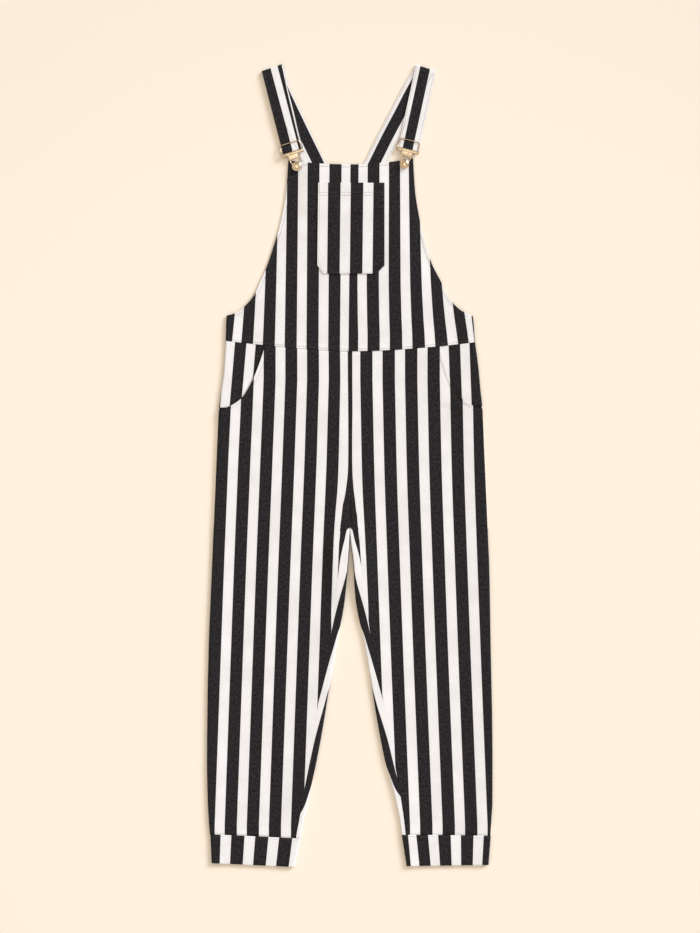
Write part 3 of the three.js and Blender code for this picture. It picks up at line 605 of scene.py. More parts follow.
def rows_between(stops, step):
    """Row heights from the top down, that pass through every stop."""
    ys = []
    for high, low in zip(stops, stops[1:]):
        count = max(1, round((high - low) / step))
        ys.extend(np.linspace(high, low, count + 1)[:-1])
    return [*ys, stops[-1]]


# %% [markdown]
# ## Front legs
#
# The front panel is one piece of cloth from the waist to the cuff. Along the hip its edge is the
# pocket's curved mouth, where the cloth is turned under and so is a little thicker; below the
# pocket it folds round to the side seam. Its other edge follows the centre seam, then the crotch,
# then the inseam.

# %% Front legs
CELL = 5.0
CROTCH_STOPS = [-118, -119, -120, -121, -122, -125, -132, -143, -153, -181]
HEM_WIDTH = 5.0
HEM_RISE = 0.4
GROOVE_WIDTH = 0.9
HEM_GROOVE = 0.26
WAIST_GROOVE = 0.45
CUFF_GROOVE = 1.3
FRONT_COLUMNS = 52
SEAM_ZONE = 9
SEAM_COLUMNS = 10


def doubled(distance, width=HEM_WIDTH, rise=HEM_RISE):
    """The extra height of a turned hem, with a shallow groove along its stitches."""
    groove = HEM_GROOVE * hill(distance - width, GROOVE_WIDTH)
    return rise * fade(distance, width - 1.5, width + 0.8) - groove


def front_leg(side):
    leg = legs[side]
    stops = [*(leg.waist_side - down for down in (0, 1, 2.5, 5)), 150,
             *(leg.pocket_end + up for up in (8.6, 3, 1.5, 0)), 94, -104, *CROTCH_STOPS, -680,
             *(leg.hem + up for up in (6, 3.4, 2.2, 1, 0.3, 0))]
    rows = []
    for y in rows_between(stops, CELL):
        fold = float(leg.side(y))
        mouth_y = leg_row_y(leg, y, leg.mouth(y))
        open_by = (float(leg.mouth(mouth_y)) - fold) * leg.inward
        start = 0 if y <= leg.pocket_end else max(0, open_by)
        end = float(leg.inseam(y))

        def height(x):
            off_mouth = (x - (fold + leg.inward * start)) * leg.inward
            mouth_hem = doubled(off_mouth) if start > FOLD_REACH else 0
            waist_dip = WAIST_GROOVE * fade(leg.waist_side - y, 0.5, 5)
            cuff_dip = CUFF_GROOVE * fade(y - leg.hem, 0.2, 3.4)
            return leg_top(leg, x, y) + mouth_lift(leg, x, y) + mouth_hem - waist_dip - cuff_dip

        if start < FOLD_REACH:
            fold_top = float(height(fold + leg.inward * FOLD_REACH))
            arc_x, arc_z = fold_arc(fold, leg.inward, fold_top, True)
            place = np.linspace(start / FOLD_REACH, 1, ARC_POINTS) * (ARC_POINTS - 1)
            low = np.minimum(ARC_POINTS - 2, np.floor(place).astype(int))
            part = place - low
            x_first = arc_x[low] + (arc_x[low + 1] - arc_x[low]) * part
            z_first = arc_z[low] + (arc_z[low + 1] - arc_z[low]) * part
        else:
            x_first = fold + leg.inward * (start + np.arange(ARC_POINTS) * EDGE_STEP)
            z_first = height(x_first)
        near_seam = end - leg.inward * SEAM_ZONE
        x_rest = np.concatenate((np.linspace(x_first[-1], near_seam, FRONT_COLUMNS)[1:],
                                 np.linspace(near_seam, end, SEAM_COLUMNS)[1:]))
        x = np.concatenate((x_first, x_rest))
        rows.append((x, leg_row_y(leg, y, x), np.concatenate((z_first, height(x_rest)))))
    return panel_from_rows(f"front_panel_{side}", rows, stripes_of[f"leg_{side}"])


front_legs = {side: front_leg(side) for side in SIDES}

# %% [markdown]
# ## Back legs
#
# The back panel starts at the same side seam, lies on the surface, turns up at the inner fold and
# comes to the front as far as the inseam. Its stripes run straight down the back, but on the strip
# that shows in front they lean, because that edge of the panel is cut on a slant and folded over.

# %% Back legs
STRIP_COUNTS = {
    # stripe counts by height on the strip that shows in front: at the inseam, then at the inner fold
    "left": ([(-612, 1.72), (-664, 2.29), (-713, 2.40)],
             [(-527, 2.04), (-565, 2.13), (-626, 2.28), (-664, 2.42), (-713, 2.60)]),
    "right": ([(-600, 1.72), (-638, 2.29), (-713, 2.42)],
              [(-527, 2.08), (-565, 2.19), (-591, 2.28), (-638, 2.44), (-713, 2.60)]),
    "both": ([(-118, 0.30), (-321.6, 0.72), (-373, 1.0), (-454, 1.28), (-489, 1.44), (-527, 1.56)],
             [(-118, 0.34), (-123, 0.62), (-134, 0.70), (-197, 0.72), (-318, 1.28), (-373, 1.54),
              (-435, 1.72), (-489, 1.92)]),
}
BACK_CELL = 7.0
FLAT_COLUMNS = 34
TURN_STEPS = 9
STRIP_COLUMNS = 10
TURN_REACH = 3.4
UNTURNED = 10


def back_leg(side):
    leg = legs[side]
    stops = [leg.waist_side, 150, -104, *CROTCH_STOPS, -680, leg.hem]
    at_inseam, at_inner = (
        curve_through(high + low) for high, low in zip(STRIP_COUNTS["both"], STRIP_COUNTS[side]))
    rows, counts = [], []
    for y in rows_between(stops, BACK_CELL):
        x_side, z_side = fold_arc(float(leg.side(y)), leg.inward, FLOOR_MIDDLE, False)
        inner, inseam = float(leg.inner(y)), float(leg.inseam(y))
        # above the crotch the edge lies flat at the centre; below it, it turns over to the front
        turn = 0 if y > CROTCH_Y else float(1 - fade(-y, -CROTCH_Y, -CROTCH_Y + TURN_REACH))
        flat_end = inner - leg.inward * (turn * FOLD_REACH + (1 - turn) * UNTURNED)
        x_flat = np.linspace(x_side[-1], flat_end, FLAT_COLUMNS)[1:]
        part = np.arange(1, TURN_STEPS + 1) / TURN_STEPS
        angle = -math.pi / 2 + math.pi * turn * part
        fold_top = float(leg_top(leg, inner - leg.inward * FOLD_REACH, y))
        reach = np.where(np.sin(angle) > 0, fold_top - FOLD_REACH, FOLD_RADIUS)
        before = (1 - turn) * UNTURNED * (1 - part) * leg.inward
        x_arc = inner - before - leg.inward * turn * (FOLD_REACH - FOLD_RADIUS * np.cos(angle))
        z_arc = FOLD_REACH + reach * np.sin(angle) if turn > 0 else np.full(TURN_STEPS, FLOOR_MIDDLE)
        wrap = max(0, (x_arc[-1] - inseam) * leg.inward) if turn > 0.98 else 0
        if wrap > 0:
            x_strip = np.linspace(x_arc[-1], inseam, STRIP_COLUMNS)[1:]
            z_strip = leg_top(leg, x_strip, y)
        else:
            share = np.arange(1, STRIP_COLUMNS + 1) / STRIP_COLUMNS
            x_strip = x_arc[-2] + (x_arc[-1] - x_arc[-2]) * share
            z_strip = z_arc[-2] + (z_arc[-1] - z_arc[-2]) * share
            x_arc, z_arc = x_arc[:-1], z_arc[:-1]
        x = np.concatenate((x_side, x_flat, x_arc, x_strip))
        z = np.concatenate((z_side, np.full(len(x_flat), FLOOR_MIDDLE), z_arc, z_strip))
        lengths = np.concatenate(([0], np.cumsum(np.hypot(np.diff(x), np.diff(z)))))
        from_inseam = lengths[-1] - lengths
        strip = max(lengths[-1] - lengths[-STRIP_COLUMNS - 1], 1.0)
        in_front = np.clip(from_inseam / strip, 0, 1)
        count = at_inseam(y) + (at_inner(y) - at_inseam(y)) * in_front
        counts.append(count + np.maximum(0, from_inseam - strip) / PERIOD)
        rows.append((x, leg_row_y(leg, y, x), z))
    return panel_from_rows(
        f"back_panel_{side}", rows, lambda x, y: (np.array(counts), y / PERIOD))


back_legs = {side: back_leg(side) for side in SIDES}

# %% [markdown]
# ## Pocket facings
#
# Through the open curve of each hip pocket we see the facing: a separate piece behind the mouth,
# with its own stripes that don't meet those of the leg.

# %% Pocket facings
FACING_DIP = 0.45
FACING_COLUMNS = 24


def pocket_facing(side):
    leg = legs[side]
    rows = []
    for y in rows_between([leg.waist_side, 218, 150, leg.pocket_end + 4.5], CELL):
        fold = float(leg.side(y))
        end = float(leg.mouth(y)) + leg.inward * FACING_HIDDEN

        def height(x):
            under_mouth = hill((x - leg.mouth(y)) * leg.inward - 2, 9)
            return leg_top(leg, x, y) - FACING_DIP * under_mouth

        fold_top = float(height(fold + leg.inward * FOLD_REACH))
        x_arc, z_arc = fold_arc(fold, leg.inward, fold_top, True)
        x_rest = np.linspace(x_arc[-1], end, FACING_COLUMNS)[1:]
        x = np.concatenate((x_arc, x_rest))
        rows.append((x, leg_row_y(leg, y, x), np.concatenate((z_arc, height(x_rest)))))
    return panel_from_rows(f"facing_{side}", rows, stripes_of[f"facing_{side}"])


facings = {side: pocket_facing(side) for side in SIDES}

# %% [markdown]
# ## Bib, back bib and patch pocket
#
# The front bib is one piece from the waist to its top edge, with a tab at each side that folds
# round to the back. Its top and its armholes are hemmed. The patch pocket takes the bib's own
# surface and lies one cloth above it, as a pocket does when it is sewn on.

# %% Bibs
def bib_panel(name, stops, edges, top_shape, height, is_front, columns):
    rows = []
    for y in rows_between(stops, CELL):
        left, right = (float(edges[side](y)) for side in SIDES)

        def place(x):
            return height(x, bib_row_y(y, x, top_shape))

        if y < TAB_TOP:
            x_left, z_left = fold_arc(left, 1, float(place(left + FOLD_REACH)), is_front)
            x_right, z_right = fold_arc(right, -1, float(place(right - FOLD_REACH)), is_front)
        else:
            x_left = left + np.arange(ARC_POINTS) * EDGE_STEP
            x_right = right - np.arange(ARC_POINTS) * EDGE_STEP
            z_left, z_right = place(x_left), place(x_right)
        middle = np.linspace(x_left[-1], x_right[-1], columns)[1:-1]
        x = np.concatenate((x_left, middle, x_right[::-1]))
        z = np.concatenate((z_left, place(middle), z_right[::-1]))
        rows.append((x, bib_row_y(y, x, top_shape), z))
    return panel_from_rows(name, rows, bib_stripes)


def hemmed_bib(x, y):
    """The front bib with its turned edges at the top and along the armholes."""
    x = np.asarray(x, float)
    off_side = np.abs(x - armhole_at(x, np.maximum(y, TAB_TOP)))
    above_tab = 1 - fade(y, TAB_TOP + 4, TAB_TOP + 16)
    off_top = bib_row_y(BIB_SIDE_TOP, x, BIB_TOP) - y
    off_waist = y - waist_at(x)
    felled = FELL_RISE * fade(off_waist, 5.5, 8.5)
    felled = felled - FELL_GROOVE * hill(off_waist - WAIST_STITCH, GROOVE_WIDTH)
    hems = np.maximum(doubled(off_side) * above_tab, doubled(off_top))
    return bib_top(x, y) + hems + felled


def flat_bib(x, y):
    """The back bib lies on the surface, whatever its height in the plan."""
    return FLOOR_MIDDLE + 0 * (x + y)


WAIST_STITCH = 4.0
FELL_RISE = 0.55
FELL_GROOVE = 0.28
BIB_STOPS = [BIB_SIDE_TOP, 584, 582.5, 581, 579.5, 577, 500, 331, 300, 293.6, 289.5, 287.3, 272, 252,
             247.5, 245, 243.5, 242, 240.5, WAIST_ROW]
BACK_STOPS = [BACK_BIB_TOP, 330, 303, 294, 290, 287.3, 264, WAIST_ROW]

bib = bib_panel("front_bib", BIB_STOPS, armhole, BIB_TOP, hemmed_bib, True, 72)
back_bib = bib_panel("back_bib", BACK_STOPS, back_armhole, BACK_TOP, flat_bib, False, 40)

# %% Patch pocket
PATCH = [(542.2, -60.6, 66.4), (383.8, -62.4, 66.4), (368.2, -50.4, 51.6)]
PATCH_EDGE = 2.6
PATCH_HEM = (18.6, 24.2)
PATCH_RISE = 0.35
PATCH_GROOVE = 0.12
PATCH_BELLY = 0.25
RIM_SHARE = 6 / 127


def patch_pocket():
    top, corner, low = (row[0] for row in PATCH)
    rows = [*rows_between([top, top - 28], 1.2)[:-1],
            *rows_between([top - 28, corner, low + 6], 4)[:-1],
            *rows_between([low + 6, low], 0.8)]
    heights, lefts, rights = zip(*PATCH[::-1])
    left, right = (np.interp(rows, heights, edge) for edge in (lefts, rights))
    share = np.concatenate((np.linspace(0, RIM_SHARE, 8),
                            np.linspace(RIM_SHARE, 1 - RIM_SHARE, 34)[1:-1],
                            np.linspace(1 - RIM_SHARE, 1, 8)))
    x = left[:, None] + (right - left)[:, None] * share
    y = np.array(rows)[:, None] + 0 * x
    off_side = np.minimum(x - left[:, None], right[:, None] - x)
    off_edge = np.minimum(off_side, y - rows[-1])
    belly = PATCH_BELLY * np.sin(math.pi * share)
    belly = belly * np.sin(math.pi * (y - rows[-1]) / (rows[0] - rows[-1]))
    below_top = rows[0] - y
    turned = np.maximum(doubled(off_edge, PATCH_EDGE, PATCH_RISE),
                        doubled(below_top, PATCH_HEM[1], PATCH_RISE))
    turned = turned - PATCH_GROOVE * hill(below_top - PATCH_HEM[0], GROOVE_WIDTH)
    z = bib_top(x, y) + POCKET_STEP + belly + turned
    return panel_from_rows("patch_pocket", np.stack((x, y, z), axis=1), stripes_of["patch"])


patch = patch_pocket()

# %% [markdown]
# ## Cuffs
#
# A cuff is a band sewn into a ring and pressed flat. Its stripes are wider apart than the leg's
# and fan in a little, because the ring is cut straight and the ankle tapers.

# %% Cuffs
CUFF_STRIPES = {
    # stripe counts at the band's outer and inner end, at its top and at its hem; then how far the
    # stripes beside the inner fold are pressed together, at the top and at the hem
    "left": ((-1.158, 2.616), (-1.074, 2.53), (0, 0)),
    "right": ((2.03, -1.86), (2.03, -1.86), (-0.29, -0.10)),
}
CUFF_ROWS = [0, 0.012, 0.025, 0.045, 0.075, *np.linspace(0.12, 1, 13)]
CUFF_LENGTH = 55
CUFF_ROLL = 0.25
SAG_REACH = 36
PRESSED_REACH = 15


def cuff(side):
    inward = INWARD[side]
    top, end = CUFF_CORNERS[side]["top"], CUFF_CORNERS[side]["end"]
    reach = CUFF_HEIGHT / 2
    radius = reach - CUFF_CLOTH / 2
    at_top, at_hem, pressed = np.array(CUFF_STRIPES[side], float)
    rows, counts = [], []
    for down in CUFF_ROWS:
        (side_x, side_y), (inner_x, inner_y) = [
            [a + (b - a) * down for a, b in zip(top[k], end[k])] for k in (0, 1)]
        near_side = side_x + inward * reach
        near_inner = inner_x - inward * reach
        angles = np.linspace(-math.pi / 2, math.pi / 2, 9)
        x_in = near_inner + radius * np.cos(angles) * inward
        z_in = reach + radius * np.sin(angles)
        x_up = np.linspace(near_inner, near_side, 44)[1:-1]
        sag = CUFF_SAG * (1 - np.maximum(fade(np.abs(x_up - near_side), 0, SAG_REACH),
                                         fade(np.abs(x_up - near_inner), 0, SAG_REACH)))
        rim = CUFF_ROLL * hill((1 - down) * CUFF_LENGTH, 4) - CUFF_GROOVE * hill(down * CUFF_LENGTH, 1.8)
        z_up = reach + radius - sag + rim + 0.12 * np.sin(x_up / 9 + down * 5)
        x_out = near_side - radius * np.cos(angles) * inward
        z_out = reach + radius * np.sin(angles[::-1])
        x_low = np.linspace(near_side, near_inner, 20)[1:-1]
        z_low = np.full(len(x_low), reach - radius)
        x = np.concatenate((x_in, x_up, x_out, x_low))
        z = np.concatenate((z_in, z_up, z_out, z_low))
        across = (x - side_x) / (inner_x - side_x)
        rows.append((x, side_y + (inner_y - side_y) * across, z))
        first, last = at_top + (at_hem - at_top) * down
        pinch = pressed[0] + (pressed[1] - pressed[0]) * down
        pinch = pinch * np.exp(-np.abs(inner_x - x) / PRESSED_REACH)
        counts.append(first + (last - first) * across + pinch)
    return panel_from_rows(f"ankle_cuff_{side}", rows, lambda x, y: (np.array(counts), y / PERIOD),
                           thick=CUFF_CLOTH, ring=True)


cuffs = {side: cuff(side) for side in SIDES}

# %% [markdown]
# ## Straps
#
# Each strap is a flat tube of cloth. It is sewn to the back bib, comes out under the front bib,
# runs up to the shoulder fold and comes down again to the buckle. The two faces show different
# parts of the stripes, so the upper and the lower face get their own maps.

# %% Straps
STRAP_WIDTH = 40
STRAP_THICK = 2.0
STEP_DOWN = (6, 36)
BLACK_EDGE = BLACK_SHARE / 2
WHITE_EDGE = 1 - BLACK_EDGE
STRAP_BEVEL = 0.5
STRAPS = {
    # tilt: degrees of its front half; sway: how far that leaves its line at the top and the end
    # back, front_end: the path in the plan; front, rear: stripe counts by share of the width, for
    # the front half at its top and its end, and for the half behind
    "left": {
        "tilt": 18.9, "sway": (-1.6, 1.5),
        "back": [(-36.7, 512), (-69.1, 581.8), (-103.5, 652.5), (-137.7, 725.8), (-148.8, 763.9)],
        "front_end": (-109.4, 598.4),
        "front": ([(0, -0.16), (0.44, BLACK_EDGE), (0.785, WHITE_EDGE), (1.25, 1 + BLACK_EDGE)],
                  [(0, -0.16), (0.49, BLACK_EDGE), (0.825, WHITE_EDGE), (0.91, 1 + BLACK_EDGE)]),
        "rear": [(0, 0.34), (0.41, WHITE_EDGE), (0.935, 1 + BLACK_EDGE), (1, 1.34)],
    },
    "right": {
        "tilt": -18.4, "sway": (0.0, 0.0),
        "back": [(15.2, 512), (50.5, 582.7), (72.2, 626.5), (100.4, 680.1), (120.8, 719.4),
                 (146.2, 763.1)],
        "front_end": (111.4, 603.2),
        "front": ([(0, -0.50), (0.22, -BLACK_EDGE), (0.71, BLACK_EDGE), (1, 0.56)],) * 2,
        "rear": [(0, -0.45), (0.19, -BLACK_EDGE), (0.72, BLACK_EDGE), (1, 0.56)],
    },
}


def spline_points(points, count):
    """Points at even parameters on a smooth curve through a few points."""
    knots = np.array(points, float)
    padded = np.concatenate(([2 * knots[0] - knots[1]], knots, [2 * knots[-1] - knots[-2]]))
    found = []
    for t in np.linspace(0, len(knots) - 1, count):
        i = min(int(t), len(knots) - 2)
        s = t - i
        a, b, c, d = padded[i:i + 4]
        found.append(0.5 * (2 * b + (c - a) * s + (2 * a - 5 * b + 4 * c - d) * s * s
                            + (3 * b - a - 3 * c + d) * s ** 3))
    return np.array(found)


def strap(side):
    facts = STRAPS[side]
    turn = math.radians(facts["tilt"])
    across = np.array([math.cos(turn), math.sin(turn), 0])
    up = np.array([-math.sin(turn), math.cos(turn), 0])
    low = STRAP_THICK / 2
    high = low + STRAP_THICK + SEAM
    on_bib = CLOTH + SEAM + low
    fold_radius = (high - low) / 2
    fold = np.array([*facts["back"][-1], 0]) - up * (fold_radius + low)
    middle = []
    for x, y in spline_points(facts["back"], 70):
        if (np.array([x, y, 0]) - fold) @ up < -1.2:
            off_bib = 1 - fade(y, BACK_BIB_TOP + STEP_DOWN[0], BACK_BIB_TOP + STEP_DOWN[1])
            middle.append([x, y, on_bib + (low - on_bib) * off_bib])
    back_rows = len(middle)
    at_top, at_end = facts["sway"]
    for turned, angle in enumerate(np.linspace(-math.pi / 2, math.pi / 2, 11)):
        p = fold + up * fold_radius * math.cos(angle) + across * at_top * turned / 10
        middle.append([p[0], p[1], (low + high) / 2 + fold_radius * math.sin(angle)])
    start = np.array(middle[-1])
    end = np.array([*facts["front_end"], high]) + across * at_end
    front = [start + (end - start) * t for t in np.linspace(0, 1, 40)[1:]]
    for k, p in enumerate(front):
        settle = math.sin(math.pi * (k + 1) / len(front))
        p[2] += 0.5 * settle + 0.10 * math.sin(k / 2.6)
    middle = np.array(middle + front)
    shares = np.linspace(-0.5, 0.5, 15)
    grid = middle[:, None, :] + shares[None, :, None] * STRAP_WIDTH * across
    edge = 0.14 * fade(0.5 - np.abs(shares), 0.02, 0.10)
    grid[..., 2] += edge * np.where(np.arange(len(middle))[:, None] >= back_rows + 5, 1, -1)
    rows_along = np.concatenate(([0], np.cumsum(np.linalg.norm(np.diff(middle, axis=0), axis=1))))
    v = rows_along[:, None] / PERIOD + 0 * shares

    def count_across(stops):
        """Stripe counts across the strap, through stops; the last stretch runs on to the edge."""
        at, count = (np.array(column) for column in zip(*stops))
        last_slope = (count[-1] - count[-2]) / (at[-1] - at[-2])
        return np.interp(shares + 0.5, at, count) + np.maximum(0, shares + 0.5 - at[-1]) * last_slope

    high_end, low_end = (count_across(stops) for stops in facts["front"])
    down = np.clip((np.arange(len(middle)) - back_rows) / len(front), 0, 1)[:, None]
    front_map = high_end + (low_end - high_end) * down
    rear_map = count_across(facts["rear"]) + 0 * down
    return panel(f"strap_of_{side}", grid, STRAP_THICK, (rear_map, v), (front_map, v),
                 bevel=STRAP_BEVEL)


straps = {side: strap(side) for side in SIDES}

# %% [markdown]
# ## Shader maths as plain expressions
#
# A node tree is easier to read as a formula. This small class wraps a socket, and `+ - *` on it
# add the Math nodes. Any other node comes from `Tree.node`, which takes the node's type, its
# settings and its inputs.

# %% Shader helpers
class Value:
    """A number that varies over the surface."""

    def __init__(self, tree, socket):
        self.tree, self.socket = tree, socket

    def _math(self, operation, *others):
        return self.tree.maths(operation, self, *others)

    def __add__(self, other):
        return self._math("ADD", other)

    def __sub__(self, other):
        return self._math("SUBTRACT", other)

    def __mul__(self, other):
        return self._math("MULTIPLY", other)

    def __rsub__(self, other):
        return self.tree.maths("SUBTRACT", other, self)

    def abs(self):
        return self._math("ABSOLUTE")

    def off_whole(self):
        """The distance to the nearest whole number."""
        return ((self + 0.5)._math("FRACT") - 0.5).abs()

    def past(self, start, end):
        """Nothing before start, one after end, and smooth between."""
        return Value(self.tree, self.tree.node(
            "ShaderNodeMapRange", {"interpolation_type": "SMOOTHSTEP"},
            {"Value": self, "From Min": start, "From Max": end}).outputs["Result"])

    __radd__ = __add__


class Tree:
    """The nodes of one material, with its shader already in place."""

    def __init__(self, name):
        self.material = bpy.data.materials.new(name)
        self.material.use_nodes = True
        self.nodes = self.material.node_tree.nodes
        self.shader = self.nodes["Principled BSDF"]

    def plug(self, socket, value):
        if isinstance(value, Value):
            value = value.socket
        if isinstance(value, bpy.types.NodeSocket):
            self.material.node_tree.links.new(value, socket)
        else:
            socket.default_value = value

    def node(self, kind, settings=None, inputs=None):
        made = self.nodes.new(kind)
        for name, value in (settings or {}).items():
            setattr(made, name, value)
        for key, value in (inputs or {}).items():
            self.plug(made.inputs[key], value)
        return made

    def maths(self, operation, *values):
        made = self.node("ShaderNodeMath", {"operation": operation}, dict(enumerate(values)))
        return Value(self, made.outputs[0])

    def noise(self, vector, scale, detail=2.0, roughness=0.5):
        made = self.node("ShaderNodeTexNoise", {}, {
            "Vector": vector, "Scale": scale, "Detail": detail, "Roughness": roughness})
        return Value(self, made.outputs["Fac"])

    def mix(self, share, first, second):
        made = self.node("ShaderNodeMix", {"data_type": "RGBA"})
        self.plug(made.inputs[0], share)
        self.plug(made.inputs[6], first)
        self.plug(made.inputs[7], second)
        return made.outputs[2]

    def bump(self, height, strength, distance, normal=None):
        inputs = {"Height": height, "Strength": strength, "Distance": distance}
        if normal is not None:
            inputs["Normal"] = normal
        return self.node("ShaderNodeBump", {}, inputs).outputs["Normal"]

    def finish(self, **sockets):
        for name, value in sockets.items():
            socket = name.replace("_", " ").title().replace("Ior", "IOR")
            self.plug(self.shader.inputs[socket], value)
        return self.material


def linear(red, green, blue):
    """A screen colour, 0 to 255, as the light it stands for."""
    def part(c):
        c = c / 255
        return c / 12.92 if c <= 0.04045 else ((c + 0.055) / 1.055) ** 2.4
    return (part(red), part(green), part(blue), 1.0)


# %% [markdown]
# ## The striped twill
#
# Broad stripes are woven in a fine twill: a faint diagonal line runs over black and white alike,
# the edge between two stripes is uneven by a yarn or so, and in each white stripe a thin grey yarn
# line follows both edges. The stripe map carries the whole pattern, so one material dresses every
# piece. An image would do too, but a formula stays sharp at any distance and keeps the part light.

# %% Striped cloth
YARN = 0.9
TWILL_SLOPE = 0.55
UNEVEN = 0.012
EDGE_SOFTNESS = 0.009
GREY_LINE = {"off": 0.062, "core": 0.004, "end": 0.014}


def striped_cloth():
    tree = Tree("striped_twill")
    uv = tree.node("ShaderNodeUVMap", {"uv_map": "stripe_map"}).outputs["UV"]
    parts = tree.node("ShaderNodeSeparateXYZ", {}, {"Vector": uv})
    across, along = Value(tree, parts.outputs["X"]), Value(tree, parts.outputs["Y"])
    uneven = tree.noise(tree.node("ShaderNodeMapping", {}, {
        "Vector": uv, "Scale": (2.0, 14.0, 1.0)}).outputs["Vector"], 9.0, 3.0, 0.6)
    count = across + (uneven - 0.5) * UNEVEN
    off_black = count.off_whole()
    white = off_black.past(BLACK_EDGE - EDGE_SOFTNESS, BLACK_EDGE + EDGE_SOFTNESS)
    off_line = (off_black - (BLACK_EDGE + GREY_LINE["off"])).abs()
    grey_line = 1 - off_line.past(GREY_LINE["core"], GREY_LINE["end"])
    yarns = PERIOD / YARN
    twill_phase = across * yarns + along * (yarns * TWILL_SLOPE)
    twill = tree.maths("SINE", twill_phase * (2 * math.pi)) * 0.5 + 0.5
    slubs = tree.noise(tree.node("ShaderNodeMapping", {}, {
        "Vector": uv, "Scale": (26.0, 3.0, 1.0)}).outputs["Vector"], 2.0, 4.0, 0.65)
    cloudy = tree.noise(uv, 0.8, 3.0, 0.55)
    mottled = tree.noise(uv, 9.0, 3.0, 0.65)
    black = tree.mix(slubs.past(0.36, 0.66), linear(6, 5, 7), linear(36, 34, 36))
    black = tree.mix(mottled.past(0.38, 0.66) * 0.6, black, linear(54, 52, 54))
    pale = tree.mix(cloudy.past(0.3, 0.7), linear(232, 231, 232), linear(242, 241, 243))
    pale = tree.mix(slubs.past(0.45, 0.8) * 0.35, pale, linear(216, 215, 217))
    pale = tree.mix(mottled.past(0.42, 0.75) * 0.30, pale, linear(220, 219, 221))
    pale = tree.mix(grey_line * 0.26, pale, linear(178, 177, 180))
    twill_colour = tree.mix(white, linear(60, 58, 62), linear(205, 203, 204))
    colour = tree.mix(twill * 0.08, tree.mix(white, black, pale), twill_colour)
    fine = tree.bump(twill, 0.25, 0.00012)
    normal = tree.bump(slubs + cloudy * 0.5, 0.20, 0.0004, fine)
    return tree.finish(
        base_color=colour, roughness=0.84 + white * 0.04, normal=normal,
        sheen_weight=0.03, specular_ior_level=0.14)


cloth = striped_cloth()

def sew(piece, node):
    """Give a sheet its cloth and its place on the body, and hide the frame's solid for its node."""
    piece.data.materials.clear()
    piece.data.materials.append(cloth)
    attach(piece, "root")
    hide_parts(node)


for side in SIDES:
    sew(front_legs[side], f"leg_front_{side}")
    sew(back_legs[side], f"leg_back_{side}")
    sew(facings[side], f"pocket_facing_{side}")
    sew(cuffs[side], f"cuff_{side}")
    sew(straps[side], f"strap_{side}")
sew(bib, "bib_front")
sew(back_bib, "bib_back")
sew(patch, "bib_pocket")

# %% [markdown]
# ## Topstitching
#
# Each stitch is a short piece of thread that rises out of the cloth and goes back into it. We make
# one stitch of 24 faces, walk along a seam, drop every stitch straight down onto the finished cloth
# with a ray, and turn it to the seam's direction and the cloth's normal. All stitches of a seam
# become one mesh. A bump texture could draw them, but it would not catch the low light.

# %% One stitch
STITCH = {"length": 2.8, "pitch": 3.7, "thread": 0.24, "rings": 5, "sides": 6}


def stitch_shape():
    """Points (along, aside, up) and faces of one stitch."""
    rings, sides = STITCH["rings"], STITCH["sides"]
    points = []
    for t in np.linspace(0, 1, rings):
        radius = STITCH["thread"] * (0.55 + 0.45 * math.sin(math.pi * t))
        lift = STITCH["thread"] * (1.3 * math.sin(math.pi * t) - 0.35)
        for turn in np.arange(sides) / sides * 2 * math.pi:
            points.append(((t - 0.5) * STITCH["length"], radius * math.cos(turn),
                           lift + radius * math.sin(turn)))

    def corner(ring, side):
        return ring * sides + side % sides

    faces = [(corner(k, j), corner(k + 1, j), corner(k + 1, j + 1), corner(k, j + 1))
             for k in range(rings - 1) for j in range(sides)]
    return np.array(points), np.array(faces)


def surface_below(pieces):
    """The cloth under a point of the plan, as a function of x and y in millimetres."""
    trees = [BVHTree.FromPolygons([v.co for v in p.data.vertices], [f.vertices for f in p.data.polygons])
             for p in pieces]

    def at(x, y):
        hits = [tree.ray_cast(Vector((x * MM, y * MM, 0.05)), Vector((0, 0, -1))) for tree in trees]
        hits = [hit for hit in hits if hit[0] is not None]
        return max(hits, key=lambda hit: hit[0].z)[:2] if hits else (None, None)

    return at


# %% Stitches along a seam
def along_path(path):
    """Places and directions at every stitch of a path in the plan."""
    path = np.array(path, float)
    steps = np.concatenate(([0], np.cumsum(np.hypot(*np.diff(path, axis=0).T))))
    count = int(steps[-1] / STITCH["pitch"])
    at = (np.arange(count) + 0.5) * steps[-1] / max(count, 1)
    x, y = (np.interp(at, steps, path[:, k]) for k in (0, 1))
    x_on, y_on = (np.interp(at + 0.5, steps, path[:, k]) for k in (0, 1))
    return zip(x, y, x_on - x, y_on - y)


def stitch(name, paths, pieces):
    """Sew a running stitch along the paths, on whichever of the pieces lies on top."""
    shape, shape_faces = stitch_shape()
    under = surface_below(pieces)
    points, faces = [], []
    for path in paths:
        for x, y, dx, dy in along_path(path):
            place, normal = under(x, y)
            if place is None or normal.z < 0.2:
                continue
            aside = normal.cross(Vector((dx, dy, 0))).normalized()
            ahead = aside.cross(normal).normalized()
            axes = np.array([ahead, aside, normal]) * MM
            faces.append(shape_faces + len(points) * len(shape))
            points.append(shape @ axes + np.array(place))
    mesh = bpy.data.meshes.new(name)
    mesh.from_pydata(np.concatenate(points).tolist(), [], np.concatenate(faces).tolist())
    mesh.shade_smooth()
    mesh.materials.append(thread)
    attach(add_object(name, mesh), "root")
    print(f"{name}: {len(points)} stitches")


def thread_material():
    tree = Tree("dark_thread")
    place = tree.node("ShaderNodeTexCoord").outputs["Object"]
    ply = tree.noise(place, 2400.0, 2.0, 0.6)
    colour = tree.mix(ply.past(0.3, 0.7), linear(58, 55, 56), linear(84, 80, 80))
    return tree.finish(
        base_color=colour, roughness=0.62 + ply * 0.2, normal=tree.bump(ply, 0.4, 0.0002))


thread = thread_material()

